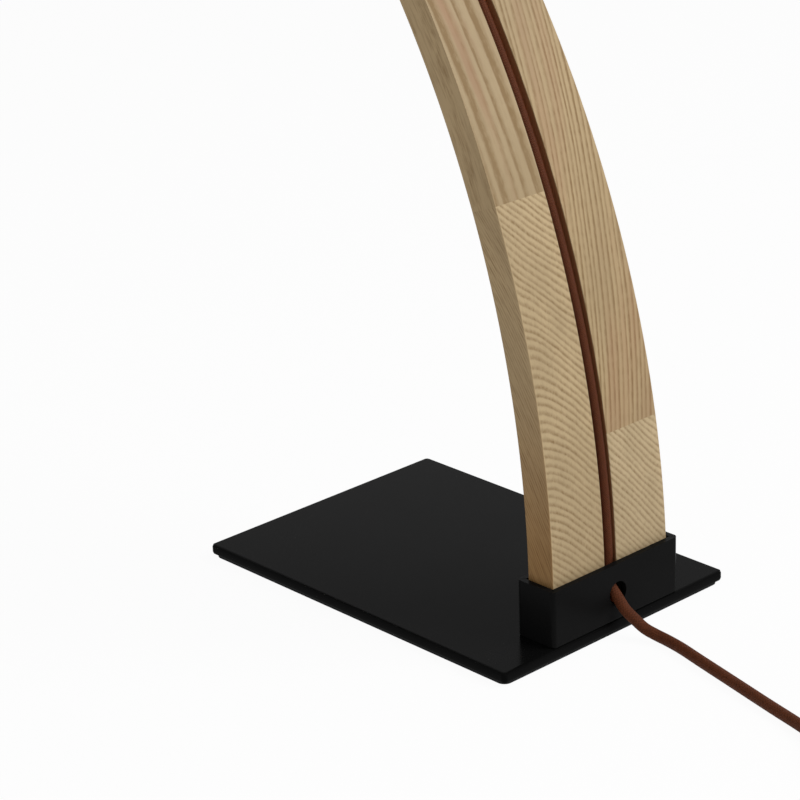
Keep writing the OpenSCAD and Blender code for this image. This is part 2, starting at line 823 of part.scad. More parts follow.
module screw_shell() color(dull_brass)
    at_head()
        translate([0, 0, insert_foot - shell_l])
            difference() {
                cylinder(r = shell_r, h = shell_l);
                translate([0, 0, -cut]) cylinder(r = shell_r - shell_t, h = shell_l + 2 * cut);
            }

module centre_contact() color(dull_brass)
    at_head()
        translate([0, 0, contact_foot])
            linear_extrude(contact_t)
                intersection() {
                    circle(d = contact_d);
                    square([2 * contact_d, contact_w], center = true);
                }

module shade() color(black_steel)
    at_head()
        rotate_extrude() {
            intersection() {
                translate([shade_d / 2 - dome_r, shade_rim])
                    difference() {
                        circle(dome_r);
                        circle(dome_r - shade_t);
                    }
                translate([shade_hole_r, shade_rim]) square([shade_d, shade_h]);
            }
            translate([shade_hole_r, seat_z - shade_t])
                square([shade_top_d / 2 - shade_hole_r, shade_t]);
            translate([shade_d / 2 - shade_t / 2, shade_rim]) circle(bead_r);
        }

module shade_ring() color(black_plastic)
    at_head()
        translate([0, 0, seat_z - shade_t - ring_h])
            difference() {
                cylinder(d = ring_d, h = ring_h);
                translate([0, 0, -cut]) cylinder(r = shade_hole_r, h = ring_h + 2 * cut);
                for (i = [1 : ring_flutes])
                    rotate(360 * i / ring_flutes)
                        translate([ring_d / 2 + flute_r - flute_depth, 0, -cut])
                            cylinder(r = flute_r, h = ring_h - ring_lip + cut);
            }

module bulb_cap() color(bright_metal)
    at_head()
        rotate_extrude() {
            translate([0, bulb_cap_foot]) square([bulb_cap_d / 2, bulb_cap_l - bulb_tip_l]);
            translate([0, contact_foot - bulb_tip_l - cut]) square([bulb_tip_d / 2, bulb_tip_l + cut]);
        }

// Half section of the glass, drawn in by its thickness
module glass_outline(wall) {
    neck_r = bulb_cap_d / 2 - neck_inset - wall;
    translate([0, ball_z]) square([neck_r, bulb_cap_foot - ball_z - wall]);
    translate([0, ball_z]) intersection() {
        circle(bulb_d / 2 - wall);
        translate([0, -bulb_d / 2]) square(bulb_d);
    }
}

module bulb_glass() color(opal_glass)
    at_head()
        rotate_extrude()
            difference() {
                glass_outline(0);
                glass_outline(glass_t);
            }

// Cord switch

// The switch's boat-shaped body between two heights
module switch_form(low, high)
    intersection() {
        translate([0, 0, low])
            linear_extrude(high - low)
                intersection() {
                    square([switch_w + 2 * cut, switch_l], center = true);
                    translate([switch_curve - switch_w / 2, 0]) circle(switch_curve, $fn = large_fn);
                    translate([switch_w / 2 - switch_curve, 0]) circle(switch_curve, $fn = large_fn);
                }
        translate([-switch_w / 2 - cut, 0, switch_h - switch_crown])
            rotate([0, 90, 0]) cylinder(r = switch_crown, h = switch_w + 2 * cut, $fn = large_fn);
    }

module switch_bores()
    for (end = [-1, 1])
        translate([0, end * switch_l / 2, switch_seam])
            rotate([90, 0, 0]) cylinder(d = bore_d, h = 2 * entry_l, center = true);

module switch_slot(low, high)
    translate([-rocker_slot_w / 2, -rocker_slot_l / 2, low])
        cube([rocker_slot_w, rocker_slot_l, high - low]);

module switch_base() color(black_plastic)
    at_switch()
        difference() {
            switch_form(0, switch_seam);
            switch_bores();
            switch_slot(switch_floor, switch_seam + cut);
            for (end = [-1, 1])
                translate([0, end * shell_screw_y, -cut])
                    cylinder(d = shell_screw_d + 2 * fixing_gap, h = switch_seam + 2 * cut);
        }

module switch_cover() color(black_plastic)
    at_switch()
        difference() {
            switch_form(switch_seam, switch_h + cut);
            switch_bores();
            switch_slot(switch_seam - cut, switch_h + cut);
            translate([-trunnion_l / 2 - rocker_gap, 0, rocker_z])
                rotate([0, 90, 0])
                    cylinder(d = trunnion_d + 2 * trunnion_gap, h = trunnion_l + 2 * rocker_gap);
            for (end = [-1, 1])
                translate([0, end * shell_screw_y, switch_seam - cut])
                    cylinder(d = shell_screw_d + 2 * fixing_gap, h = shell_screw_grip + fixing_gap + cut);
        }

module switch_rocker() color(black_plastic)
    at_switch()
        translate([0, 0, rocker_z])
            rotate([-rocker_tilt, 0, 0]) {
                translate([-rocker_w / 2, 0, 0])
                    rotate([90, 0, 90])
                        linear_extrude(rocker_w)
                            polygon([
                                [-rocker_l / 2, 0], [-rocker_nose_w / 2, -rocker_nose],
                                [rocker_nose_w / 2, -rocker_nose], [rocker_l / 2, 0],
                                [rocker_l / 2, rocker_top], [0, rocker_top - rocker_dip],
                                [-rocker_l / 2, rocker_top]
                            ]);
                rotate([0, 90, 0]) cylinder(d = trunnion_d, h = trunnion_l, center = true);
            }

module switch_terminal(end) color(dull_brass)
    at_switch()
        translate([-rocker_w / 2, end * switch_contact_y - switch_contact_l / 2, switch_floor])
            cube([rocker_w, switch_contact_l, switch_contact_h]);

module switch_screw(end) color(bright_metal)
    at_switch() translate([0, end * shell_screw_y, shell_screw_recess])
        cylinder(d = shell_screw_d, h = switch_seam + shell_screw_grip - shell_screw_recess);

// Free cord

module cord_lead() color(brown_cord) tube(eased(lead_route), 8);

module cord_link() color(brown_cord) tube(eased(link_route), 8);

module cord_coil() color(brown_cord) tube(coil_route, coil_sides);

module cord_tail() color(brown_cord) tube(eased(tail_route), 8);

module cord_tie() color(black_plastic) {
    in_w = coil_r - coil_in_r + cord_d + 2 * tie_gap;
    in_h = coil_top_z - coil_z + cord_d + 2 * tie_gap;
    translate([coil_at[0], coil_at[1], 0])
        rotate(tie_angle)
            translate([(coil_r + coil_in_r) / 2, tie_w / 2, (coil_top_z + coil_z) / 2])
                rotate([90, 0, 0])
                    linear_extrude(tie_w)
                        difference() {
                            rounded_rect(in_w + 2 * tie_t, in_h + 2 * tie_t, tie_bend + tie_t);
                            rounded_rect(in_w, in_h, tie_bend);
                        }
}

// Plug

module at_plug() translate([plug_at[0], 0, plug_z]) children();

module plug_relief() color(black_plastic)
    at_plug()
        translate([0, plug_back_y, 0])
            rotate([-90, 0, 0])
                difference() {
                    cylinder(d1 = cord_d + 2 * relief_root_t, d2 = cord_d + 2 * relief_end_t, h = relief_l);
                    translate([0, 0, -cut]) cylinder(d = bore_d, h = relief_l + 2 * cut);
                    for (i = [1 : relief_cuts])
                        translate([0, 0, i * relief_l / (relief_cuts + 1)]) relief_cut();
                }

// A ring that cuts the strain relief down to its core
module relief_cut()
    linear_extrude(relief_cut_w)
        difference() {
            circle(d = cord_d + 2 * relief_root_t + cut);
            circle(d = cord_d + 2 * relief_core_t);
        }

// Plan of the plug: a flat face, straight sides, and shoulders that narrow to the relief
module plug_body() color(black_plastic)
    difference() {
        intersection() {
            translate([plug_at[0], plug_front_y, 0])
                linear_extrude(plug_t)
                    polygon([
                        [-plug_w / 2, 0], [plug_w / 2, 0], [plug_w / 2, plug_side_l],
                        [plug_t / 2, plug_l], [-plug_t / 2, plug_l], [-plug_w / 2, plug_side_l]
                    ]);
            translate([plug_at[0], plug_back_y, plug_z])
                rotate([90, 0, 0])
                    linear_extrude(plug_l) rounded_rect(plug_w, plug_t, plug_round);
        }
        for (side = [-1, 1])
            at_pin(side)
                translate([0, 0, -pin_root_l])
                    cylinder(d = pin_root_d + 2 * pin_gap, h = pin_root_l + cut);
    }

module at_pin(side)
    at_plug() translate([side * pin_spacing / 2, plug_front_y, 0]) rotate([90, 0, 0]) children();

module plug_pin(side) color(bright_metal)
    at_pin(side) {
        translate([0, 0, -pin_root_l]) cylinder(d = pin_root_d, h = pin_root_l + cut);
        cylinder(d = pin_d, h = pin_l - pin_d / 2);
        translate([0, 0, pin_l - pin_d / 2]) sphere(d = pin_d);
    }

base_plate();
base_pad();
arm_socket();
foot_bolt(1);  // foot_bolt_left
foot_bolt(-1);  // foot_bolt_right
foot_insert(1);  // foot_insert_left
foot_insert(-1);  // foot_insert_right
arm_left_lower();
arm_left_middle();
arm_left_upper();
arm_right_foot();
arm_right_lower();
arm_right_upper();
arm_right_tip();
arm_cord();
cord_grip();
grip_screw();
pendant_cord();
holder_cap();
cap_screw();
holder_body();
holder_insert();
terminal_screw(1);  // terminal_screw_left
terminal_screw(-1);  // terminal_screw_right
screw_shell();
centre_contact();
shade();
shade_ring();
bulb_cap();
bulb_glass();
cord_lead();
switch_base();
switch_cover();
switch_rocker();
switch_terminal(-1);  // switch_terminal_near
switch_terminal(1);  // switch_terminal_far
switch_screw(-1);  // switch_screw_near
switch_screw(1);  // switch_screw_far
cord_link();
cord_coil();
cord_tie();
cord_tail();
plug_relief();
plug_body();
plug_pin(1);  // plug_pin_left
plug_pin(-1);  // plug_pin_right
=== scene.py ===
import json
import math

import bmesh
import bpy
from mathutils import Color, Matrix, Quaternion, Vector
from mathutils.geometry import interpolate_bezier


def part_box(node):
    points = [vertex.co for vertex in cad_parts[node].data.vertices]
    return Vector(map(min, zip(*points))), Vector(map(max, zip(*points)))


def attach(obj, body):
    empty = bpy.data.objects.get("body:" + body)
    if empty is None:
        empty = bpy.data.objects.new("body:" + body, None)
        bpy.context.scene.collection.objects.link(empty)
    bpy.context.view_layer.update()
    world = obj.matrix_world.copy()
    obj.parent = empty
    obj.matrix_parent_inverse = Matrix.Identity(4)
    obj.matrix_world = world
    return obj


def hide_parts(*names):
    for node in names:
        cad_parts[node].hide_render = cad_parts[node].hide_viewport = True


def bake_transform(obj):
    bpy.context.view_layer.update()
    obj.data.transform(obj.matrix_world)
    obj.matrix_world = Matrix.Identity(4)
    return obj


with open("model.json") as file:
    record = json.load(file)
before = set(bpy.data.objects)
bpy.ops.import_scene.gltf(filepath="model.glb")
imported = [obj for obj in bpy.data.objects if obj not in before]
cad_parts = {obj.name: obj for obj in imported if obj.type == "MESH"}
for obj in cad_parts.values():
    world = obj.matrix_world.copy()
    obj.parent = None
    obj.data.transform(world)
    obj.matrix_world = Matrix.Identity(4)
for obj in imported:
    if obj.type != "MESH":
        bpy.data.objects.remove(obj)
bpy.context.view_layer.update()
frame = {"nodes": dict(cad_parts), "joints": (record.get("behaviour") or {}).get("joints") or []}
scene = bpy.context.scene
scene.view_settings.view_transform = "Standard"

# The view: a close look at the lamp's foot from behind and above. A broad studio lamp behind the
# arm lights its outer face, and an even sky fills in the rest. The floor is white.
eye = Vector((0.9419, 0.9776, 0.6413))
aim = Vector((-0.0017, -0.0468, 0.0842))
roll_angle = -1.925
lens = 126.2
roll = Quaternion((0, 0, 1), math.radians(roll_angle))
camera = bpy.data.objects.new("view_camera", bpy.data.cameras.new("view_camera"))
camera.data.lens = lens
camera.matrix_world = Matrix.LocRotScale(eye, (aim - eye).to_track_quat("-Z", "Y") @ roll, None)
scene.collection.objects.link(camera)
scene.camera = camera


def studio_lamp(name, place, target, width, watts):
    lamp = bpy.data.lights.new(name, "AREA")
    lamp.size = width
    lamp.energy = watts
    stand = bpy.data.objects.new(name, lamp)
    place, target = Vector(place), Vector(target)
    stand.matrix_world = Matrix.LocRotScale(place, (target - place).to_track_quat("-Z", "Y"), None)
    scene.collection.objects.link(stand)


arm_middle = (0, 0, 0.2)
studio_lamp("key_lamp", place=(-0.9, 1.3, 1.5), target=arm_middle, width=1.2, watts=30)
studio_lamp("fill_lamp", place=(1.7, 0.3, 1.0), target=arm_middle, width=1.0, watts=5)


class Signal:
    """An output of a shader's nodes. Arithmetic on signals adds Math nodes, and node() any other."""

    def __init__(self, socket):
        self.socket = socket

    def node(self, kind, settings, sockets, output=0):
        tree = self.socket.id_data
        made = tree.nodes.new("ShaderNode" + kind)
        for name, value in settings.items():
            setattr(made, name, value)
        entries = [entry for entry in made.inputs if entry.enabled]
        for key, value in sockets.items():
            entry = entries[key] if isinstance(key, int) else next(e for e in entries if e.name == key)
            if isinstance(value, Signal):
                tree.links.new(value.socket, entry)
            else:
                entry.default_value = value
        exits = [leaving for leaving in made.outputs if leaving.enabled]
        if isinstance(output, tuple):
            return [Signal(made.outputs[name]) for name in output]
        return Signal(exits[output] if isinstance(output, int) else made.outputs[output])

    def maths(self, operation, *values):
        return self.node("Math", {"operation": operation}, dict(enumerate(values)))

    def __add__(self, other):
        return self.maths("ADD", self, other)

    def __radd__(self, other):
        return self.maths("ADD", other, self)

    def __sub__(self, other):
        return self.maths("SUBTRACT", self, other)

    def __rsub__(self, other):
        return self.maths("SUBTRACT", other, self)

    def __mul__(self, other):
        return self.maths("MULTIPLY", self, other)

    def __rmul__(self, other):
        return self.maths("MULTIPLY", other, self)

    def __truediv__(self, other):
        return self.maths("DIVIDE", self, other)

    def __mod__(self, other):
        return self.maths("FLOORED_MODULO", self, other)


def tint(red, green, blue):
    """A colour as a screen shows it, from 0 to 255, made ready for a shader."""
    shown = Color((red / 255, green / 255, blue / 255))
    return (*shown.from_srgb_to_scene_linear(), 1)


def mixed(share, first, second, way="MIX"):
    settings = {"data_type": "RGBA", "blend_type": way}
    return share.node("Mix", settings, {"Factor": share, "A": first, "B": second})


def clamped(signal):
    return signal.node("Clamp", {}, {0: signal})


def seen_rays(start):
    """1 for the rays that show the studio itself, by sight, in gloss or through glass."""
    sight, gloss, glass = start.node(
        "LightPath", {}, {}, ("Is Camera Ray", "Is Glossy Ray", "Is Transmission Ray"))
    return clamped(sight + gloss + glass)


white = (1, 1, 1, 1)
sky_fill = (0.3, 0.3, 0.3, 1)
sky = bpy.data.worlds.new("studio_sky")
sky.use_nodes = True
scene.world = sky
sky_start = Signal(sky.node_tree.nodes["Background"].outputs[0])
sky_colour = mixed(seen_rays(sky_start), sky_fill, white)
sky.node_tree.links.new(sky_colour.socket, sky.node_tree.nodes["Background"].inputs["Color"])

floor_reach = 15
floor_drop = 0.0003
floor_pale = (0.9, 0.9, 0.9, 1)
shadow_share = 0.05
floor_shape = bmesh.new()
bmesh.ops.create_grid(floor_shape, x_segments=1, y_segments=1, size=floor_reach)
bmesh.ops.translate(floor_shape, verts=floor_shape.verts, vec=(0, 0, -floor_drop))
floor_mesh = bpy.data.meshes.new("studio_floor")
floor_shape.to_mesh(floor_mesh)
floor_shape.free()
floor_paint = bpy.data.materials.new("white_floor")
floor_paint.use_nodes = True
floor_tree = floor_paint.node_tree
floor_start = Signal(floor_tree.nodes["Principled BSDF"].outputs[0])
matt = floor_start.node("BsdfDiffuse", {}, {"Color": floor_pale})
glow = floor_start.node("Emission", {}, {"Color": white, "Strength": 1.0})
lit_share = seen_rays(floor_start) * (1 - shadow_share)
floor_look = floor_start.node("MixShader", {}, {0: lit_share, 1: matt, 2: glow})
floor_tree.links.new(floor_look.socket, floor_tree.nodes["Material Output"].inputs["Surface"])
floor_mesh.materials.append(floor_paint)
floor = bpy.data.objects.new("studio_floor", floor_mesh)
scene.collection.objects.link(floor)


# The plate that the lamp stands on: flat bar steel cut to size, with small rounded corners and
# eased edges, powder coated in satin black.
plate_corner = 0.0025
plate_edge = 0.0016


def new_finish(name, constants):
    """A material with the constant values of its shader set, and a signal to make its nodes from."""
    finish = bpy.data.materials.new(name)
    finish.use_nodes = True
    shader = finish.node_tree.nodes["Principled BSDF"]
    for socket, value in constants.items():
        shader.inputs[socket].default_value = value
    return finish, Signal(shader.outputs[0])


def feed(finish, signals):
    shader = finish.node_tree.nodes["Principled BSDF"]
    for socket, signal in signals.items():
        finish.node_tree.links.new(signal.socket, shader.inputs[socket])


def noise(place, scale, detail=2):
    return place.node("TexNoise", {}, {"Vector": place, "Scale": scale, "Detail": detail})


def bump(height, strength, depth):
    return height.node("Bump", {}, {"Height": height, "Strength": strength, "Distance": depth})


def coated(name, dark, pale, gloss, roughness, grain, relief):
    """A sprayed or moulded skin: two close tones in soft clouds, over a fine even grain."""
    finish, start = new_finish(name, {"Specular IOR Level": gloss})
    cloud_scale = 30
    grain_depth = 0.0002
    place = start.node("TexCoord", {}, {}, "Object")
    clouds = noise(place, cloud_scale, 3)
    grains = noise(place, grain)
    feed(finish, {
        "Base Color": mixed(clouds * 0.6 + grains * 0.4, dark, pale),
        "Roughness": roughness + (clouds - 0.5) * 0.12 + (grains - 0.5) * 0.06,
        "Normal": bump(grains, relief, grain_depth),
    })
    return finish


def tidy(shape):
    """Merges doubles and points the faces outwards."""
    bmesh.ops.remove_doubles(shape, verts=shape.verts, dist=1e-6)
    bmesh.ops.dissolve_degenerate(shape, edges=shape.edges, dist=1e-7)
    bmesh.ops.recalc_face_normals(shape, faces=shape.faces)


def soften(shape, width, chosen=None):
    """Rounds the sharp edges of a shape, or those of them that are chosen."""
    tidy(shape)
    sharp_angle = math.radians(35)
    edges = [
        edge for edge in shape.edges
        if edge.is_manifold and edge.calc_face_angle() > sharp_angle and (chosen is None or chosen(edge))
    ]
    bmesh.ops.bevel(
        shape, geom=edges, offset=width, affect="EDGES", segments=2, profile=0.5, material=-1,
        clamp_overlap=True)


def add_mesh(name, shape, *finishes):
    tidy(shape)
    crease_angle = math.radians(40)
    mesh = bpy.data.meshes.new(name)
    shape.to_mesh(mesh)
    shape.free()
    mesh.shade_smooth()
    mesh.set_sharp_from_angle(angle=crease_angle)
    for finish in finishes:
        mesh.materials.append(finish)
    piece = bpy.data.objects.new(name, mesh)
    piece.modifiers.new("flat_faces", "WEIGHTED_NORMAL").keep_sharp = True
    scene.collection.objects.link(piece)
    return piece


def seat(piece, body, slot, *nodes):
    """The piece moves with a body and stands for the nodes that it hides. Its slot is not used."""
    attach(piece, body)
    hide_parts(*nodes)
    return piece


def block(low, high):
    shape = bmesh.new()
    place = Matrix.Translation((low + high) / 2) @ Matrix.Diagonal((*(high - low), 1))
    bmesh.ops.create_cube(shape, size=1, matrix=place)
    return shape


touch = 1e-5


def is_upright(edge):
    return abs(edge.verts[0].co.z - edge.verts[1].co.z) > touch


def round_corners(shape, radius, segments):
    bmesh.ops.bevel(
        shape, geom=[edge for edge in shape.edges if is_upright(edge)], offset=radius,
        affect="EDGES", segments=segments, profile=0.5, material=-1)


plate_black = coated(
    "plate_powder_coat", (0.003, 0.003, 0.003, 1), (0.005, 0.005, 0.005, 1),
    gloss=0.0155, roughness=0.19, grain=900, relief=0.05)
plate = block(*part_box("base_plate"))
round_corners(plate, plate_corner, segments=8)
soften(plate, plate_edge)
seat(add_mesh("plate_steel", plate, plate_black), "stand", "black_steel", "base_plate")


# The pad under the plate: a sheet of soft foam that keeps the steel off the table, stuck on a
# little inside the plate's edge so that it shows only as a dark line.
pad_corner = 0.0045
pad_edge = 0.0002
foam_black = coated(
    "foam_sheet", tint(16, 16, 17), tint(30, 30, 31),
    gloss=0.2, roughness=0.85, grain=1600, relief=0.5)
pad = block(*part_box("base_pad"))
round_corners(pad, pad_corner, segments=8)
soften(pad, pad_edge)
seat(add_mesh("pad_foam", pad, foam_black), "stand", "foot_pad", "base_pad")


# The socket that holds the arm: folded and welded sheet steel, open above, screwed down at the
# plate's back edge. A bare hole in its back wall lets the cord out.
socket_wall = 0.0032
socket_floor = 0.002
socket_bend = 0.0025
socket_edge = 0.0004
socket_foot_edge = 0.0009
cord_hole_r = 0.006
cord_hole_edge = 0.0003
cord_hole = Vector((-0.001, 0, 0.0225))


def carve(shape, *tools):
    """Cuts tools out of a shape, as a drill or a router does."""
    held = []
    for part in (shape, *tools):
        tidy(part)
        mesh = bpy.data.meshes.new("carving")
        part.to_mesh(mesh)
        part.free()
        held.append(bpy.data.objects.new("carving", mesh))
        scene.collection.objects.link(held[-1])
    for tool in held[1:]:
        cut = held[0].modifiers.new("cut", "BOOLEAN")
        cut.operation = "DIFFERENCE"
        cut.solver = "EXACT"
        cut.object = tool
    carved = bmesh.new()
    carved.from_object(held[0], bpy.context.evaluated_depsgraph_get())
    for done in held:
        mesh = done.data
        bpy.data.objects.remove(done)
        bpy.data.meshes.remove(mesh)
    return carved


def rod(radius, start, end, sides=48):
    """A round bar between two points."""
    shape = bmesh.new()
    start, end = Vector(start), Vector(end)
    turn = (end - start).to_track_quat("Z", "Y")
    bmesh.ops.create_cone(
        shape, cap_ends=True, segments=sides, radius1=radius, radius2=radius,
        depth=(end - start).length, matrix=Matrix.LocRotScale((start + end) / 2, turn, None))
    return shape


socket_black = coated(
    "socket_powder_coat", (0.004, 0.004, 0.004, 1), (0.008, 0.008, 0.008, 1),
    gloss=0.02, roughness=0.3, grain=900, relief=0.06)
socket_low, socket_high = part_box("arm_socket")
socket = block(socket_low, socket_high)
round_corners(socket, socket_bend, segments=6)
rim = max(socket.faces, key=lambda face: face.calc_center_median().z)
bmesh.ops.inset_region(socket, faces=[rim], thickness=socket_wall, use_even_offset=True)
well = bmesh.ops.extrude_discrete_faces(socket, faces=[rim])["faces"][0]
well_depth = socket_high.z - socket_low.z - socket_floor
bmesh.ops.translate(socket, verts=well.verts, vec=(0, 0, -well_depth))


def is_socket_foot(edge):
    return max(vert.co.z for vert in edge.verts) < socket_low.z + touch


soften(socket, socket_foot_edge, is_socket_foot)
soften(socket, socket_edge)
drill_reach = Vector((0, 2 * socket_wall, 0))
hole_at = Vector((cord_hole.x, socket_high.y, cord_hole.z))
socket = carve(socket, rod(cord_hole_r, hole_at - drill_reach, hole_at + drill_reach))


def is_hole_rim(edge):
    return all((vert.co - hole_at).length < cord_hole_r + 10 * touch for vert in edge.verts)


soften(socket, cord_hole_edge, is_hole_rim)
seat(add_mesh("socket_steel", socket, socket_black), "stand", "black_steel", "arm_socket")


# The arm: two layers of ash blocks glued side by side, with their butt joints staggered, then
# sawn to an arc, tapered, routed with a groove for the cord, sanded and oiled.
arc_turn = math.radians(1)
arris = 0.0006
arm_r = 0.576
arm_t = 0.017
arm_half = 0.0425
tip_half = 0.032
groove_half = 0.00425
groove_d = 0.0066
foot_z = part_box("arm_left_lower")[0].z
back_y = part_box("arm_left_lower")[1].y
tip_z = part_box("arm_left_upper")[1].z
arc_centre = Vector((0, back_y - arm_r, 0.018))
left_joint = 21.25
block_angle = 25.1
right_joint = left_joint - block_angle / 2
tip_angle = left_joint + 2 * block_angle
foot_angle = -4
tip_hole_angle = 69.26


def radial(angle):
    """The way out from the arc's centre, at an arc angle in degrees."""
    return Vector((0, math.cos(math.radians(angle)), math.sin(math.radians(angle))))


def along(angle):
    return Vector((0, -math.sin(math.radians(angle)), math.cos(math.radians(angle))))


def arc_sweep(corners, start, end, rounded=()):
    """A section of (across, radius) corners swept along the arc between two angles."""
    shape = bmesh.new()
    points = [shape.verts.new(Vector((x, 0, 0)) + arc_centre + r * radial(start)) for x, r in corners]
    shape.faces.new(points)
    if rounded:
        bmesh.ops.bevel(
            shape, geom=[points[k] for k in rounded], offset=arris, affect="VERTICES", segments=2,
            profile=0.5, material=-1)
    turn = math.radians(end - start)
    bmesh.ops.spin(
        shape, geom=shape.verts[:] + shape.edges[:] + shape.faces[:], cent=arc_centre,
        axis=(1, 0, 0), angle=turn, steps=math.ceil(turn / arc_turn))
    return shape


def arm_block(side, start, end, grooved):
    """One block of a layer, with its taper, its level foot and its half of the groove."""
    inner, outer = arm_r - arm_t, arm_r
    if grooved:
        corners = [(0, inner), (arm_half, inner), (arm_half, outer), (groove_half, outer),
                   (groove_half, outer - groove_d), (0, outer - groove_d)]
        rounded = (1, 2, 3)
    else:
        corners = [(0, inner), (arm_half, inner), (arm_half, outer), (0, outer)]
        rounded = (1, 2)
    shape = arc_sweep([(side * x, r) for x, r in corners], start, end, rounded)
    for vert in shape.verts:
        if abs(vert.co.x) > arm_half - 2 * arris:
            taper = (arm_half - tip_half) * (vert.co.z - foot_z) / (tip_z - foot_z)
            vert.co.x -= side * taper
    level = bmesh.ops.bisect_plane(
        shape, geom=shape.verts[:] + shape.edges[:] + shape.faces[:], dist=1e-7,
        plane_co=(0, 0, foot_z), plane_no=(0, 0, -1), clear_outer=True)
    sawn = [part for part in level["geom_cut"] if isinstance(part, bmesh.types.BMEdge)]
    if sawn:
        bmesh.ops.contextual_create(shape, geom=sawn)
    return shape


pocket_r = 0.00525
pocket_step = 0.0004
bore_r = 0.0032
spigot_r = 0.00515
spigot_l = 0.005
exit_pocket = 0.005
tool_clear = 0.004


def exit_tool():
    """The drill for the pocket behind the socket's hole, where the cord turns out."""
    mouth = Vector((cord_hole.x, back_y, cord_hole.z))
    return rod(cord_hole_r, mouth - Vector((0, exit_pocket, 0)), mouth + Vector((0, exit_pocket, 0)))


def tip_tools():
    """The router's groove with its round end, and the drills for the cord and the grip."""
    way = radial(tip_hole_angle)
    floor_r, above_r, below_r = arm_r - groove_d, arm_r + tool_clear, arm_r - 2 * arm_t
    groove = arc_sweep(
        [(-groove_half, floor_r), (groove_half, floor_r), (groove_half, above_r), (-groove_half, above_r)],
        right_joint, tip_hole_angle)
    pocket = rod(pocket_r, arc_centre + (floor_r - pocket_step) * way, arc_centre + above_r * way)
    bore = rod(bore_r, arc_centre + below_r * way, arc_centre + above_r * way)
    spigot = rod(spigot_r, arc_centre + below_r * way, arc_centre + (arm_r - arm_t + spigot_l) * way)
    return groove, pocket, bore, spigot


def stretched(place, factors):
    return place.node("VectorMath", {"operation": "MULTIPLY"}, {0: place, 1: factors})


def ramped(signal, low, high):
    """Eases from 0 to 1 while the signal goes from low to high."""
    return signal.node(
        "MapRange", {"interpolation_type": "SMOOTHSTEP"},
        {"Value": signal, "From Min": low, "From Max": high})


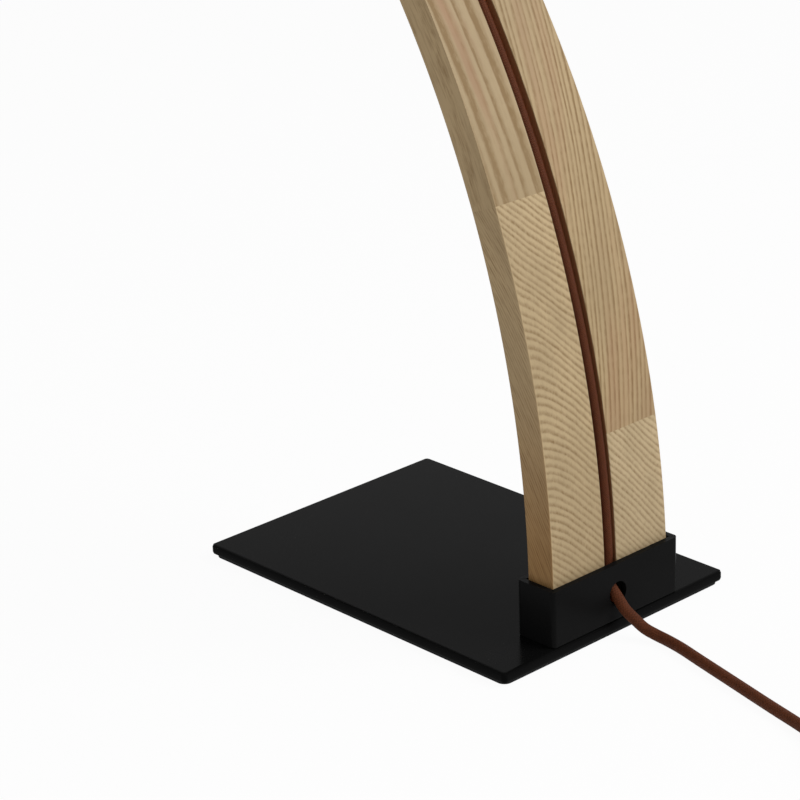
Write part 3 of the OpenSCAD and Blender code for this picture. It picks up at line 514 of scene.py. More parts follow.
def ash(name, side, growth, lean, skew, contrast, uneven, flush, pale):
    """Solid ash. Its growth and its fibres are laid out in millimetres across from the outer edge,
    in from the back face and up along the arc, so that all faces of a block agree.

    growth holds the years per millimetre upwards, inwards and across, and how many fewer there are
    across near the edge, halfway up. lean and skew turn the fibres inwards and across, in degrees.
    uneven is how much the years differ, and flush the share of a warmer tone in long streaks.
    """
    finish, start = new_finish(name, {"Specular IOR Level": 0.2})
    climb, sink, cross, ease = growth
    millimetres = 1000
    edge_reach = 26
    hump_rise, hump_fall = (15, 70), (110, 200)
    # Heights in millimetres up the arc over which the painted shade on the side faces fades
    side_shade_fade = (22, 148)
    pore_depth = 0.0001
    floor_depth = groove_d * millimetres
    hole_up = math.radians(tip_hole_angle) * arm_r * millimetres
    place = start.node("TexCoord", {}, {}, "Object")
    swung = place.node("VectorMath", {"operation": "SUBTRACT"}, {0: place, 1: arc_centre})
    x, y, z = swung.node("SeparateXYZ", {}, {0: swung}, ("X", "Y", "Z"))
    narrowing = (arm_half - tip_half) / (tip_z - foot_z)
    across = (arm_half - narrowing * (z + (arc_centre.z - foot_z)) - side * x) * millimetres
    depth = (arm_r - (y * y + z * z).maths("SQRT", y * y + z * z)) * millimetres
    up = z.maths("ARCTAN2", z, y) * (arm_r * millimetres)
    grown = place.node("CombineXYZ", {}, {0: across, 1: depth, 2: up})
    tilt, slip = math.radians(lean), math.radians(skew)
    fibre = Vector((math.sin(slip), math.sin(tilt) * math.cos(slip), math.cos(tilt) * math.cos(slip)))
    turn = fibre.rotation_difference(Vector((0, 0, 1))).to_euler()
    log = grown.node("Mapping", {}, {"Vector": grown, "Rotation": turn})
    wander = (noise(stretched(log, (1, 1, 0.25)), 0.03, 1) - 0.5) * 4.5
    ripple = (noise(stretched(log, (1, 1, 0.15)), 0.14, 1) - 0.5) * 0.7
    hump = ramped(up, *hump_rise) * (1 - ramped(up, *hump_fall))
    at_edge = clamped(1 - across / edge_reach)
    steep = abs(climb) + abs(cross)
    bent = at_edge * at_edge * at_edge * hump * (ease * edge_reach / 3)
    years = up * climb + depth * sink + across * cross + bent + (wander + ripple) * steep
    slow = years * 0.35
    drift = slow.node("TexNoise", {"noise_dimensions": "1D"}, {"W": slow, "Scale": 1.0})
    years = years + drift * (0.5 + 2 * uneven)
    share = years.maths("FRACT", years)
    year = years.maths("FLOOR", years)
    luck = year.node("TexWhiteNoise", {"noise_dimensions": "1D"}, {"W": year}, "Value")
    early = ramped(share, 0.0, 0.25) * (1 - ramped(share, 0.28, 0.8))
    mottle = noise(stretched(log, (1, 1, 0.4)), 0.55, 2)
    line = early * (0.8 - 0.5 * uneven + (0.4 + 0.6 * uneven) * luck) * (0.4 + 1.2 * mottle)
    vessels = ramped(noise(stretched(log, (1, 1, 0.12)), 1.7, 2), 0.54, 0.70)
    pores = vessels * (0.35 + 0.65 * early)
    fibres = noise(stretched(log, (1, 1, 0.06)), 0.9, 3)
    clouds = noise(stretched(log, (1, 1, 0.3)), 0.04, 2)
    streaks = ramped(noise(stretched(log, (1, 1, 0.08)), 0.07, 2), 0.46, 0.68)
    on_side = 1 - ramped(across, 0.1, 0.6)
    figure = line * contrast * (1 - (0.35 + 0.7 * uneven) * on_side) + pores * 0.3
    tone = figure + (fibres - 0.5) * (0.6 + 1.3 * on_side) + (mottle - 0.5) * 0.3
    base = mixed(on_side, pale, pale_ash)
    wood = mixed(clamped(tone), base, late_ash)
    warm = mixed(streaks * flush * (1 - on_side), wood, warm_ash)
    shaded = mixed(ramped(clouds, 0.35, 0.7) * 0.3, warm, dull_ash)
    # Painted highlight with some sanding wear: a paler line along the arris between the side and the back
    # face
    at_arris = (1 - ramped(across, 0.3, 1.3)) * (1 - ramped(depth, 0.3, 1.3))
    arris_highlight_and_wear = mixed(at_arris * 0.5, shaded, pale)
    # Painted shade: the side faces are darkened by a multiplied tint, most near the foot and less up the
    # arc
    side_shade = on_side * (1 - 0.78 * ramped(up, *side_shade_fade))
    side_shaded = mixed(side_shade, arris_highlight_and_wear, side_shade_tint, "MULTIPLY")
    # Painted shade in the cord's groove: its walls and floor, and the pocket walls near the tip, take
    # darker browns
    at_end = ramped(up, hole_up - 8, hole_up - 4)
    off_centre = x.maths("ABSOLUTE", x) - at_end * (pocket_r - groove_half)
    in_groove = 1 - ramped(off_centre, groove_half + 0.0001, groove_half + 0.0004)
    in_groove = in_groove * ramped(depth, 0.15, 0.8)
    in_groove = in_groove * (1 - ramped(depth, floor_depth + 0.2, floor_depth + 0.6))
    in_groove = in_groove * (1 - ramped(up, hole_up + 5, hole_up + 6))
    groove_shade_tone = mixed(ramped(depth, 1, 5) * (1 - at_end), groove_shade_ash, deep_groove_shade_ash)
    # grooved carries the painted shade of the groove
    grooved = mixed(in_groove * 0.95, side_shaded, groove_shade_tone)
    # Painted shade: the wood seen through the socket's cord hole is painted near black
    aside, above = x - cord_hole.x, z + (arc_centre.z - cord_hole.z)
    from_hole = x.maths("SQRT", aside * aside + above * above)
    in_hole = 1 - ramped(from_hole, cord_hole_r + 0.001, cord_hole_r + 0.002)
    feed(finish, {
        "Base Color": mixed(in_hole, grooved, hole_shade_black),
        "Roughness": 0.55 + 0.12 * line - 0.08 * fibres,
        "Normal": bump(1 - 0.15 * line - 0.7 * pores + 0.3 * fibres, 0.3, pore_depth),
    })
    return finish


late_ash = tint(140, 114, 78)
dull_ash = tint(150, 130, 98)
warm_ash = tint(160, 120, 90)
# The tint multiplied onto the side faces for their painted shade
side_shade_tint = tint(206, 181, 150)
# Painted shade tones for the groove: the darker one near its edges and at the tip, the other deeper in
groove_shade_ash = tint(124, 78, 46)
deep_groove_shade_ash = tint(192, 120, 78)
# Near black painted shade for the wood behind the cord's hole
hole_shade_black = tint(12, 10, 8)
pale_ash = tint(192, 169, 131)
creamy_ash = tint(200, 178, 141)
tan_ash = tint(182, 158, 120)
rosy_ash = tint(174, 152, 117)
blocks = (
    # name, layer, start and end angle, then growth, lean, skew, contrast, uneven, flush and base tone
    ("left_lower", 1, foot_angle, left_joint,
     (0.235, -0.62, 0.23, 0.24), 26, 0, 0.64, 0, 0, pale_ash),
    ("left_middle", 1, left_joint, left_joint + block_angle,
     (0.006, 0.1, 0.14, 0), 2, -3, 0.95, 0.6, 0.7, rosy_ash),
    ("left_upper", 1, left_joint + block_angle, tip_angle,
     (0.19, -0.3, 0.12, 0), 35, 0, 0.8, 0.1, 0.1, pale_ash),
    ("right_foot", -1, foot_angle, right_joint,
     (0.245, -0.42, -0.27, 0), 40, 0, 0.57, 0, 0, creamy_ash),
    ("right_lower", -1, right_joint, right_joint + block_angle,
     (0.053, 0.15, 0.31, 0), 4, -9, 0.78, 0.2, 0.35, tan_ash),
    ("right_upper", -1, right_joint + block_angle, right_joint + 2 * block_angle,
     (0.012, 0.1, 0.15, 0), 3, 4, 0.7, 0.5, 0.6, rosy_ash),
    ("right_tip", -1, right_joint + 2 * block_angle, tip_angle,
     (0.22, -0.3, -0.17, 0), 38, 0, 0.8, 0.1, 0.1, pale_ash),
)
for name, side, start, end, growth, lean, skew, contrast, uneven, flush, pale in blocks:
    wood = ash("ash_" + name, side, growth, lean, skew, contrast, uneven, flush, pale)
    if end == tip_angle:
        shape = carve(arm_block(side, start, end, False), *tip_tools())
    elif start == foot_angle:
        shape = carve(arm_block(side, start, end, True), exit_tool())
    else:
        shape = arm_block(side, start, end, True)
    slot = "ash_brown" if flush > 0.5 else "ash_pale"
    seat(add_mesh("ash_" + name, shape, wood), "stand", slot, "arm_" + name)


# The cord in the arm: a round flex with a braided brown textile cover, pressed into the groove
# from the socket to the tip, where it dives through the arm into the grip.
cord_d = 0.006
cord_r = cord_d / 2
cord_step = 0.0018
cord_bed = 0.0002
cord_arc_r = arm_r - groove_d + cord_bed + cord_r
tip_bend = 0.0075
tip_bend_steps = 12
arm_steps = 240
cord_lie = 0.001
lie_in = 3
lie_turn, lie_turn_l = 90, 80
lie_out, lie_out_l = 220, 60
cord_start_angle = 1.55
grip_mouth_r = 0.54585


def braid(name):
    """Yarns that wind both ways round the cord and pass over and under each other."""
    finish, start = new_finish(name, {"Specular IOR Level": 0.12})
    yarns = 16
    yarn_step = 0.0013
    yarn_relief = 0.0003
    yarn_gap_shade, yarn_brown, faded_brown = tint(42, 20, 9), tint(103, 53, 28), tint(112, 60, 32)
    unrolled = start.node("UVMap", {"uv_map": "UVMap"}, {})
    length, round_share = unrolled.node("SeparateXYZ", {}, {0: unrolled}, ("X", "Y"))
    place = start.node("TexCoord", {}, {}, "Object")
    fuzz = noise(place, 2600, 2)
    patches = noise(place, 60, 2)
    right = round_share * yarns + length / yarn_step
    left = round_share * yarns - length / yarn_step
    right_yarn = right.maths("FLOOR", right)
    left_yarn = left.maths("FLOOR", left)
    over = (right_yarn + left_yarn) % 2
    right_crown = right.maths("SINE", (right - right_yarn) * math.pi)
    left_crown = left.maths("SINE", (left - left_yarn) * math.pi)
    crown = over * right_crown + (1 - over) * left_crown
    number = (over * right_yarn + (1 - over) * (left_yarn + 0.5)) % yarns
    luck = number.node("TexWhiteNoise", {"noise_dimensions": "1D"}, {"W": number}, "Value")
    # Painted shade: the colour darkens between the yarns and down their sides away from each crown, with
    # random tone per yarn
    depth = crown * 0.65 + luck * 0.2 + fuzz * 0.3 - 0.12
    feed(finish, {
        "Base Color": mixed(
            (patches - 0.35) * 0.3, mixed(clamped(depth), yarn_gap_shade, yarn_brown), faded_brown),
        "Roughness": 0.75 - 0.15 * crown,
        "Normal": bump(crown + fuzz * 0.35, 0.6, yarn_relief),
    })
    return finish


def evenly(points, step):
    """Points an even step apart along a line of close points."""
    reach = [0.0]
    for before, after in zip(points, points[1:]):
        reach.append(reach[-1] + (after - before).length)
    count = math.ceil(reach[-1] / step)
    route = []
    leg = 0
    for mark in range(count + 1):
        goal = reach[-1] * mark / count
        while leg < len(points) - 2 and reach[leg + 1] < goal:
            leg += 1
        share = (goal - reach[leg]) / (reach[leg + 1] - reach[leg])
        route.append(points[leg].lerp(points[leg + 1], share))
    return route


def route_length(route):
    return sum((after - before).length for before, after in zip(route, route[1:]))


def cord_tube(name, route, finish, end_radii=()):
    """A round tube along an even route, whose UV map runs in metres along it."""
    curve = bpy.data.curves.new(name, "CURVE")
    curve.dimensions = "3D"
    curve.bevel_depth = cord_r
    curve.bevel_resolution = 6
    curve.use_fill_caps = True
    line = curve.splines.new("POLY")
    line.points.add(len(route) - 1)
    for point, place in zip(line.points, route):
        point.co = (*place, 1)
    for point, radius in zip(reversed(line.points), end_radii):
        point.radius = radius
    maker = bpy.data.objects.new(name + "_line", curve)
    mesh = bpy.data.meshes.new_from_object(maker)
    bpy.data.objects.remove(maker)
    bpy.data.curves.remove(curve)
    length = route_length(route)
    for corner in mesh.uv_layers["UVMap"].data:
        corner.uv.x *= length
    shape = bmesh.new()
    shape.from_mesh(mesh)
    bpy.data.meshes.remove(mesh)
    return add_mesh(name, shape, finish)


def yz_arc(centre, radius, start, end, steps):
    """Points of an arc in the arm's plane."""
    return [centre + radius * radial(start + (end - start) * k / steps) for k in range(steps + 1)]


def climbed(share):
    share = min(max(share, 0), 1)
    return share * share * (3 - 2 * share)


brown_braid = braid("brown_braid")
tip_bend_h = math.sqrt((cord_arc_r - tip_bend) ** 2 - tip_bend ** 2)
tip_bend_turn = math.degrees(math.asin(tip_bend / (cord_arc_r - tip_bend)))
tip_bend_centre = arc_centre + tip_bend_h * radial(tip_hole_angle) - tip_bend * along(tip_hole_angle)
bend_start = tip_hole_angle - tip_bend_turn
arm_route = yz_arc(arc_centre, cord_arc_r, cord_start_angle, bend_start, arm_steps)
for k, point in enumerate(arm_route):
    swerve = climbed(k / lie_in) * (2 * climbed((lie_turn - k) / lie_turn_l) - 1)
    point.x -= cord_lie * swerve * climbed((lie_out - k) / lie_out_l)
arm_route += yz_arc(tip_bend_centre, tip_bend, bend_start, tip_hole_angle + 90, tip_bend_steps)[1:]
arm_route.append(arc_centre + (grip_mouth_r + cord_r) * radial(tip_hole_angle))
arm_flex = cord_tube("arm_flex", evenly(arm_route, cord_step), brown_braid)
seat(arm_flex, "stand", "cord_textile", "arm_cord")


# The cord grip under the arm's tip: a turned steel barrel with a flange, its spigot pressed into
# the wood. A set screw with a hexagon socket clamps the cord in it.
seat_gap = 0.00015
grip_seat_r = arm_r - arm_t - seat_gap
grip_r = 0.007
flange_r = 0.0095
flange_t = 0.0025
grip_spigot_r = 0.005
grip_edge = 0.0005
clamp_r = 0.0015
clamp_gap = 0.00015
clamp_sink = 0.0002
clamp_edge = 0.0002
key_r = 0.00085
key_l = 0.0012


def turned(profile, steps=96):
    """A closed profile of (radius, height) points turned once about the upright axis."""
    shape = bmesh.new()
    points = [shape.verts.new((radius, 0, height)) for radius, height in profile]
    edges = [shape.edges.new(pair) for pair in zip(points, points[1:] + points[:1])]
    bmesh.ops.spin(
        shape, geom=points + edges, cent=(0, 0, 0), axis=(0, 0, 1), angle=math.tau, steps=steps,
        use_merge=True)
    tidy(shape)
    return shape


def moved(shape, matrix):
    bmesh.ops.transform(shape, matrix=matrix, verts=shape.verts)
    return shape


def set_screw(start, end):
    """A headless screw that ends flush, with a hexagon socket in its outer end."""
    start, end = Vector(start), Vector(end)
    key_depth = (start - end).normalized() * key_l
    shape = rod(clamp_r, start, end, sides=32)
    soften(shape, clamp_edge)
    return carve(shape, rod(key_r, end + key_depth, end - key_depth, sides=6))


grip = turned([
    (bore_r, grip_mouth_r), (grip_r, grip_mouth_r), (grip_r, grip_seat_r - flange_t),
    (flange_r, grip_seat_r - flange_t), (flange_r, grip_seat_r), (grip_spigot_r, grip_seat_r),
    (grip_spigot_r, grip_seat_r + spigot_l), (bore_r, grip_seat_r + spigot_l)])
soften(grip, grip_edge)
clamp_height = grip_mouth_r + (grip_seat_r - flange_t - grip_mouth_r) / 2
grip = carve(grip, rod(clamp_r + clamp_gap, (0, 0, clamp_height), (2 * grip_r, 0, clamp_height)))
at_tip = Matrix.Translation(arc_centre) @ Matrix.Rotation(math.radians(tip_hole_angle - 90), 4, "X")
grip_black = coated(
    "turned_black_steel", tint(14, 14, 15), tint(24, 24, 25),
    gloss=0.16, roughness=0.3, grain=1500, relief=0.12)
seat(add_mesh("grip_barrel", moved(grip, at_tip), grip_black), "stand", "black_steel", "cord_grip")


def metal(name, dark, pale, roughness, grain):
    """Bare or plated metal with faint turning marks and dull patches."""
    finish, start = new_finish(name, {"Metallic": 1.0})
    place = start.node("TexCoord", {}, {}, "Object")
    marks = noise(stretched(place, (1, 1, 6)), grain, 2)
    patches = noise(place, 180, 3)
    feed(finish, {
        "Base Color": mixed(patches, dark, pale),
        "Roughness": roughness + 0.16 * (patches - 0.5) + 0.1 * (marks - 0.5),
        "Normal": bump(marks, 0.08, 0.0001),
    })
    return finish


zinc = metal("zinc_plate", tint(150, 152, 156), tint(196, 198, 200), roughness=0.34, grain=900)
grip_screw = set_screw((cord_r + clamp_gap, 0, clamp_height), (grip_r - clamp_sink, 0, clamp_height))
seat(add_mesh("grip_grub", moved(grip_screw, at_tip), zinc), "stand", "zinc_steel", "grip_screw")


# The cord that the shade hangs on: the same flex, bent out of the slanting grip until it hangs
# plumb, and clamped in the lampholder's inlet at its lower end.
hinges = {joint["name"]: Vector(joint["pos_m"]) for joint in frame["joints"]}
drop_top = hinges["pendant_swing"]
drop_end = hinges["shade_tilt"]
plumb = Vector((0, 0, -1))
slant = radial(tip_hole_angle)
bend_l = 0.009
bend_points = 17
neck_l = 0.006
ball_least = 0.15


def eased(points):
    """Close points on a smooth curve through chosen ones."""
    points = [Vector(point) for point in points]
    line = [points[0]]
    for k, (here, there) in enumerate(zip(points, points[1:])):
        before = points[max(k - 1, 0)]
        after = points[min(k + 2, len(points) - 1)]
        lead, trail = here + (there - before) / 6, there - (after - here) / 6
        line += interpolate_bezier(here, lead, trail, there, bend_points)[1:]
    return line


neck_top = arc_centre + (grip_mouth_r + neck_l) * slant
pendant_line = [neck_top]
pendant_line += interpolate_bezier(
    drop_top + bend_l * slant, drop_top + bend_l / 3 * slant, drop_top + bend_l / 3 * plumb,
    drop_top + bend_l * plumb, bend_points)
pendant_line.append(drop_end + cord_r * plumb)
pendant_step = 0.0005
pendant_route = evenly(pendant_line, pendant_step)
ball_points = round(cord_r / pendant_step)
ball_radii = [max(math.sqrt(1 - (1 - k / ball_points) ** 2), ball_least) for k in range(ball_points)]
pendant_flex = cord_tube("pendant_flex", pendant_route, brown_braid, ball_radii)
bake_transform(pendant_flex)
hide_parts("pendant_cord")
route_length(pendant_route)


# The lampholder: a moulded cap with a cord inlet and a round shoulder, screwed over a moulded
# body. The body's flange lies on the shade, and its threaded skirt takes the ring below.
inlet_r = 0.008
inlet_bore_r = 0.0033
inlet_top = -0.001
cap_top = -0.013
cap_r = 0.0205
cap_round = 0.009
cap_foot = -0.039
moulding_t = 0.002
moulding_edge = 0.0005
shade_seat = -0.042
body_flange_r = 0.025
skirt_r = 0.0185
skirt_foot = -0.08
thread_root_r = 0.018
thread_top = -0.0545
thread_pitch = 0.0025
thread_turns = 8
thread_start = 0.0012
thread_sink = 0.0003
ridge_crest = (0.0007, 0.001)
ridge_w = 0.0017
ridge_steps = 48


def bow(centre, radius, start, end, steps):
    """Points of a round stretch of a profile, between two angles in degrees."""
    turns = [math.radians(start + (end - start) * k / steps) for k in range(steps + 1)]
    return [(centre[0] + radius * math.cos(turn), centre[1] + radius * math.sin(turn)) for turn in turns]


at_head = Matrix.Translation(drop_end)
moulded_black = coated(
    "black_moulding", tint(12, 12, 13), tint(20, 20, 21),
    gloss=0.2, roughness=0.32, grain=1400, relief=0.1)
shoulder = (cap_r - cap_round, cap_top - cap_round)
cap = turned([
    (inlet_bore_r, inlet_top), (inlet_r, inlet_top), (inlet_r, cap_top),
    *bow(shoulder, cap_round, 90, 0, 10), (cap_r, cap_foot), (cap_r - moulding_t, cap_foot),
    *bow(shoulder, cap_round - moulding_t, 0, 90, 8), (inlet_bore_r, cap_top - moulding_t)])
soften(cap, moulding_edge)
cap_clamp = cap_top + (inlet_top - cap_top) / 3
cap = carve(cap, rod(clamp_r + clamp_gap, (0, 0, cap_clamp), (2 * inlet_r, 0, cap_clamp)))
cap_mesh = add_mesh("holder_dome", moved(cap, at_head), moulded_black)
seat(cap_mesh, "lamp_head", "black_plastic", "holder_cap")
cap_screw = set_screw((inlet_bore_r, 0, cap_clamp), (inlet_r - clamp_sink, 0, cap_clamp))
seat(add_mesh("cap_grub", moved(cap_screw, at_head), zinc), "lamp_head", "zinc_steel", "cap_screw")

body_bore_r = 0.015
insert_bore_r = 0.0165
insert_foot = -0.043
body_spigot_r = 0.01835
body_spigot_top = -0.031
body = turned([
    (body_bore_r, skirt_foot), (thread_root_r, skirt_foot), (thread_root_r, thread_top),
    (skirt_r, thread_top), (skirt_r, shade_seat), (body_flange_r, shade_seat),
    (body_flange_r, cap_foot), (body_spigot_r, cap_foot), (body_spigot_r, body_spigot_top),
    (insert_bore_r, body_spigot_top), (insert_bore_r, insert_foot), (body_bore_r, insert_foot)])
soften(body, moulding_edge)
ridge_low = skirt_foot + thread_start
ridge_root_r = thread_root_r - thread_sink
ridge_profile = [(ridge_root_r, 0), *[(skirt_r, height) for height in ridge_crest], (ridge_root_r, ridge_w)]
ridge = bmesh.new()
ridge.faces.new([ridge.verts.new((radius, 0, ridge_low + height)) for radius, height in ridge_profile])
bmesh.ops.spin(
    ridge, geom=ridge.verts[:] + ridge.edges[:] + ridge.faces[:], cent=(0, 0, 0), axis=(0, 0, 1),
    angle=math.tau * thread_turns, steps=ridge_steps * thread_turns,
    dvec=(0, 0, thread_pitch / ridge_steps))
body_mesh = add_mesh("holder_skirt", moved(body, at_head), moulded_black)
seat(body_mesh, "lamp_head", "black_plastic", "holder_body")
ridge_mesh = add_mesh("holder_thread", moved(ridge, at_head), moulded_black)
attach(ridge_mesh, "lamp_head")


# The shade: a spun aluminium dome with a wired bead round its rim, sprayed satin black outside
# and matt white inside, held between the lampholder's flange and the ring.
shade_r = 0.105
shade_top_r = 0.027
shade_hole_r = 0.01865
shade_t = 0.0012
shade_h = 0.106
shade_rim = shade_seat - shade_h
bead_r = 0.0015
dome_reach = shade_r - shade_top_r
dome_r = (dome_reach ** 2 + shade_h ** 2) / (2 * dome_reach)
dome_centre = (shade_r - dome_r, shade_rim)
dome_top_turn = math.degrees(math.acos((shade_top_r - dome_centre[0]) / dome_r))
inner_top_turn = math.degrees(math.asin((shade_seat - shade_t - shade_rim) / (dome_r - shade_t)))
bead_turn = 0.72
shade = turned([
    (shade_hole_r, shade_seat), *bow(dome_centre, dome_r, dome_top_turn, bead_turn, 48),
    *bow((shade_r - shade_t / 2, shade_rim), bead_r, 60, -240, 20),
    *bow(dome_centre, dome_r - shade_t, bead_turn, inner_top_turn, 48),
    (shade_hole_r, shade_seat - shade_t)], 160)
for face in shade.faces:
    middle = face.calc_center_median()
    out = math.hypot(middle.x, middle.y) - dome_centre[0]
    is_inner = math.hypot(out, middle.z - shade_rim) < dome_r - shade_t / 2
    face.material_index = 1 if is_inner and middle.z < shade_seat - shade_t / 2 else 0
shade_black = coated(
    "shade_black", tint(13, 13, 14), tint(20, 20, 21),
    gloss=0.12, roughness=0.34, grain=1100, relief=0.06)
shade_white = coated(
    "shade_white", tint(226, 225, 220), tint(238, 237, 233),
    gloss=0.3, roughness=0.6, grain=1100, relief=0.08)
shade_dome = add_mesh("shade_dome", moved(shade, at_head), shade_black, shade_white)
seat(shade_dome, "lamp_head", "shade_black", "shade")


# The ring under the shade: a moulded nut with round flutes for the fingers and a plain lip above
# them, screwed up the lampholder's skirt until it clamps the shade.
ring_r = 0.026
ring_top = shade_seat - shade_t
ring_h = 0.01
ring_lip = 0.002
flutes = 24
flute_r = 0.002
flute_depth = 0.001
ring = turned([
    (shade_hole_r, ring_top - ring_h), (ring_r, ring_top - ring_h), (ring_r, ring_top),
    (shade_hole_r, ring_top)])
soften(ring, moulding_edge)
flute_tool = bmesh.new()
for k in range(flutes):
    spoke = Matrix.Rotation(math.tau * k / flutes, 4, "Z")
    middle = Matrix.Translation((ring_r + flute_r - flute_depth, 0, ring_top - ring_h))
    bmesh.ops.create_cone(
        flute_tool, cap_ends=True, segments=24, radius1=flute_r, radius2=flute_r,
        depth=2 * (ring_h - ring_lip), matrix=spoke @ middle)
ring = carve(ring, flute_tool)
ring_mesh = add_mesh("ring_fluted", moved(ring, at_head), moulded_black)
seat(ring_mesh, "lamp_head", "black_plastic", "shade_ring")


# The bulb: an opal glass ball on a short neck, cemented into a plated screw cap that hides in
# the lampholder.
ball_r = 0.0225
ball_z = -0.0995
neck_r = 0.0125
neck_top_z = -0.07
neck_end_z = -0.0775
neck_pull = 0.0025
ball_pull = 0.002
neck_turn = 48
ball_shoulder = bow((0, ball_z), ball_r, neck_turn, -90, 28)
slope = math.radians(neck_turn)
neck_foot = Vector((neck_r, neck_end_z, 0))
ball_meet = Vector((*ball_shoulder[0], 0))
neck_curve = interpolate_bezier(
    neck_foot, neck_foot + Vector((0, -neck_pull, 0)),
    ball_meet + ball_pull * Vector((-math.sin(slope), math.cos(slope), 0)), ball_meet, 8)
bulb = turned([
    (0, neck_top_z), (neck_r, neck_top_z), *[(point.x, point.y) for point in neck_curve],
    *ball_shoulder[1:]])
opal, opal_start = new_finish("opal_glass", {
    "IOR": 1.5, "Coat Roughness": 0.04, "Subsurface Weight": 0.25, "Subsurface Scale": 0.004})
opal_place = opal_start.node("TexCoord", {}, {}, "Object")
opal_clouds = noise(opal_place, 55, 3)
opal_dust = noise(opal_place, 1800, 2)
feed(opal, {
    "Base Color": mixed(opal_clouds, tint(232, 230, 222), tint(246, 245, 240)),
    "Roughness": 0.16 + 0.12 * opal_dust,
    "Coat Weight": 0.35 + 0.2 * opal_clouds,
})
seat(add_mesh("bulb_ball", moved(bulb, at_head), opal), "lamp_head", "opal_glass", "bulb_glass")


# The cord switch: two moulded shells, boat-shaped and crowned, that close round the cord at a
# seam, with a rocker in the upper one. It lies on the floor behind the lamp.
switch_low, switch_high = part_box("switch_base")[0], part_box("switch_cover")[1]
switch_at = (switch_low + switch_high) / 2
switch_half_l = (switch_high.y - switch_low.y) / 2
switch_half_w = (switch_high.x - switch_low.x) / 2
switch_top = switch_high.z
switch_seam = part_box("switch_base")[1].z
side_curve = 0.08
crown_curve = 0.096
shell_edge = 0.0014
seam_edge = 0.0003


def loft(sections):
    """A closed shape through sections of equally many points, each a list of places."""
    shape = bmesh.new()
    face = shape.faces.new([shape.verts.new(place) for place in sections[0]])
    for section in sections[1:]:
        face = bmesh.ops.extrude_discrete_faces(shape, faces=[face])["faces"][0]
        for vert, place in zip(face.verts, section):
            vert.co = place
    bmesh.ops.holes_fill(shape, edges=[edge for edge in shape.edges if edge.is_boundary])
    return shape


def switch_shell(low, high):
    """A shell between two heights, or up to the crown where high is None."""
    sections = []
    steps = 28
    for k in range(steps + 1):
        y = switch_half_l * (2 * k / steps - 1)
        half = switch_half_w - side_curve + math.sqrt(side_curve ** 2 - y ** 2)
        top = high or switch_top - crown_curve + math.sqrt(crown_curve ** 2 - y ** 2)
        sections.append([
            Vector((switch_at.x + x, switch_at.y + y, z))
            for x, z in ((-half, low), (half, low), (half, top), (-half, top))])
    return loft(sections)


entry_l = 0.008
cord_entries = [
    rod(bore_r, Vector((switch_at.x, switch_at.y + end * (switch_half_l - entry_l), switch_seam)),
        Vector((switch_at.x, switch_at.y + end * (switch_half_l + entry_l), switch_seam)))
    for end in (-1, 1)]
lower_shell = switch_shell(0, switch_seam)
soften(lower_shell, seam_edge)
lower_shell = carve(lower_shell, *[entry.copy() for entry in cord_entries])
lower_piece = add_mesh("switch_lower", lower_shell, moulded_black)
seat(lower_piece, "stand", "black_plastic", "switch_base")

slot_half_w = 0.0057
slot_half_l = 0.0101
slot_clear = 0.001
crown_least = 0.003
slot_reach = Vector((slot_half_w, slot_half_l, slot_clear))
slot_low = Vector((switch_at.x, switch_at.y, switch_seam)) - slot_reach
slot_high = Vector((switch_at.x, switch_at.y, switch_top)) + slot_reach


def is_at_seam(edge):
    return max(vert.co.z for vert in edge.verts) < switch_seam + touch


def is_at_crown(edge):
    return min(vert.co.z for vert in edge.verts) > switch_seam + crown_least


upper_shell = switch_shell(switch_seam, None)
soften(upper_shell, seam_edge, is_at_seam)
soften(upper_shell, shell_edge, is_at_crown)
upper_shell = carve(upper_shell, block(slot_low, slot_high), *cord_entries)
upper_piece = add_mesh("switch_upper", upper_shell, moulded_black)
seat(upper_piece, "stand", "black_plastic", "switch_cover")

rocker_half_w = 0.0052
rocker_half_l = 0.009
rocker_top = 0.0044
rocker_dip = 0.0012
rocker_nose = 0.0044
rocker_nose_half = 0.003
rocker_edge = 0.0005
rocker_tilt = math.radians(-9)
dish_steps = 8
rocker = bmesh.new()
dish = [-rocker_half_l * (2 * k / dish_steps - 1) for k in range(dish_steps + 1)]
rocker_outline = [
    (-rocker_half_l, 0), (-rocker_nose_half, -rocker_nose), (rocker_nose_half, -rocker_nose),
    (rocker_half_l, 0), *[(y, rocker_top - rocker_dip * (1 - (y / rocker_half_l) ** 2)) for y in dish]]
rocker.faces.new([rocker.verts.new((-rocker_half_w, y, z)) for y, z in rocker_outline])
rocker_side = bmesh.ops.extrude_face_region(rocker, geom=rocker.faces[:])["geom"]
bmesh.ops.translate(
    rocker, vec=(2 * rocker_half_w, 0, 0),
    verts=[part for part in rocker_side if isinstance(part, bmesh.types.BMVert)])
soften(rocker, rocker_edge)
at_rocker = Matrix.Translation(hinges["switch_rock"]) @ Matrix.Rotation(rocker_tilt, 4, "X")
rocker_black = coated(
    "rocker_moulding", tint(15, 15, 16), tint(24, 24, 25),
    gloss=0.24, roughness=0.24, grain=1400, relief=0.05)
rocker_piece = add_mesh("switch_key", moved(rocker, at_rocker), rocker_black)
seat(rocker_piece, "rocker", "black_plastic", "switch_rocker")


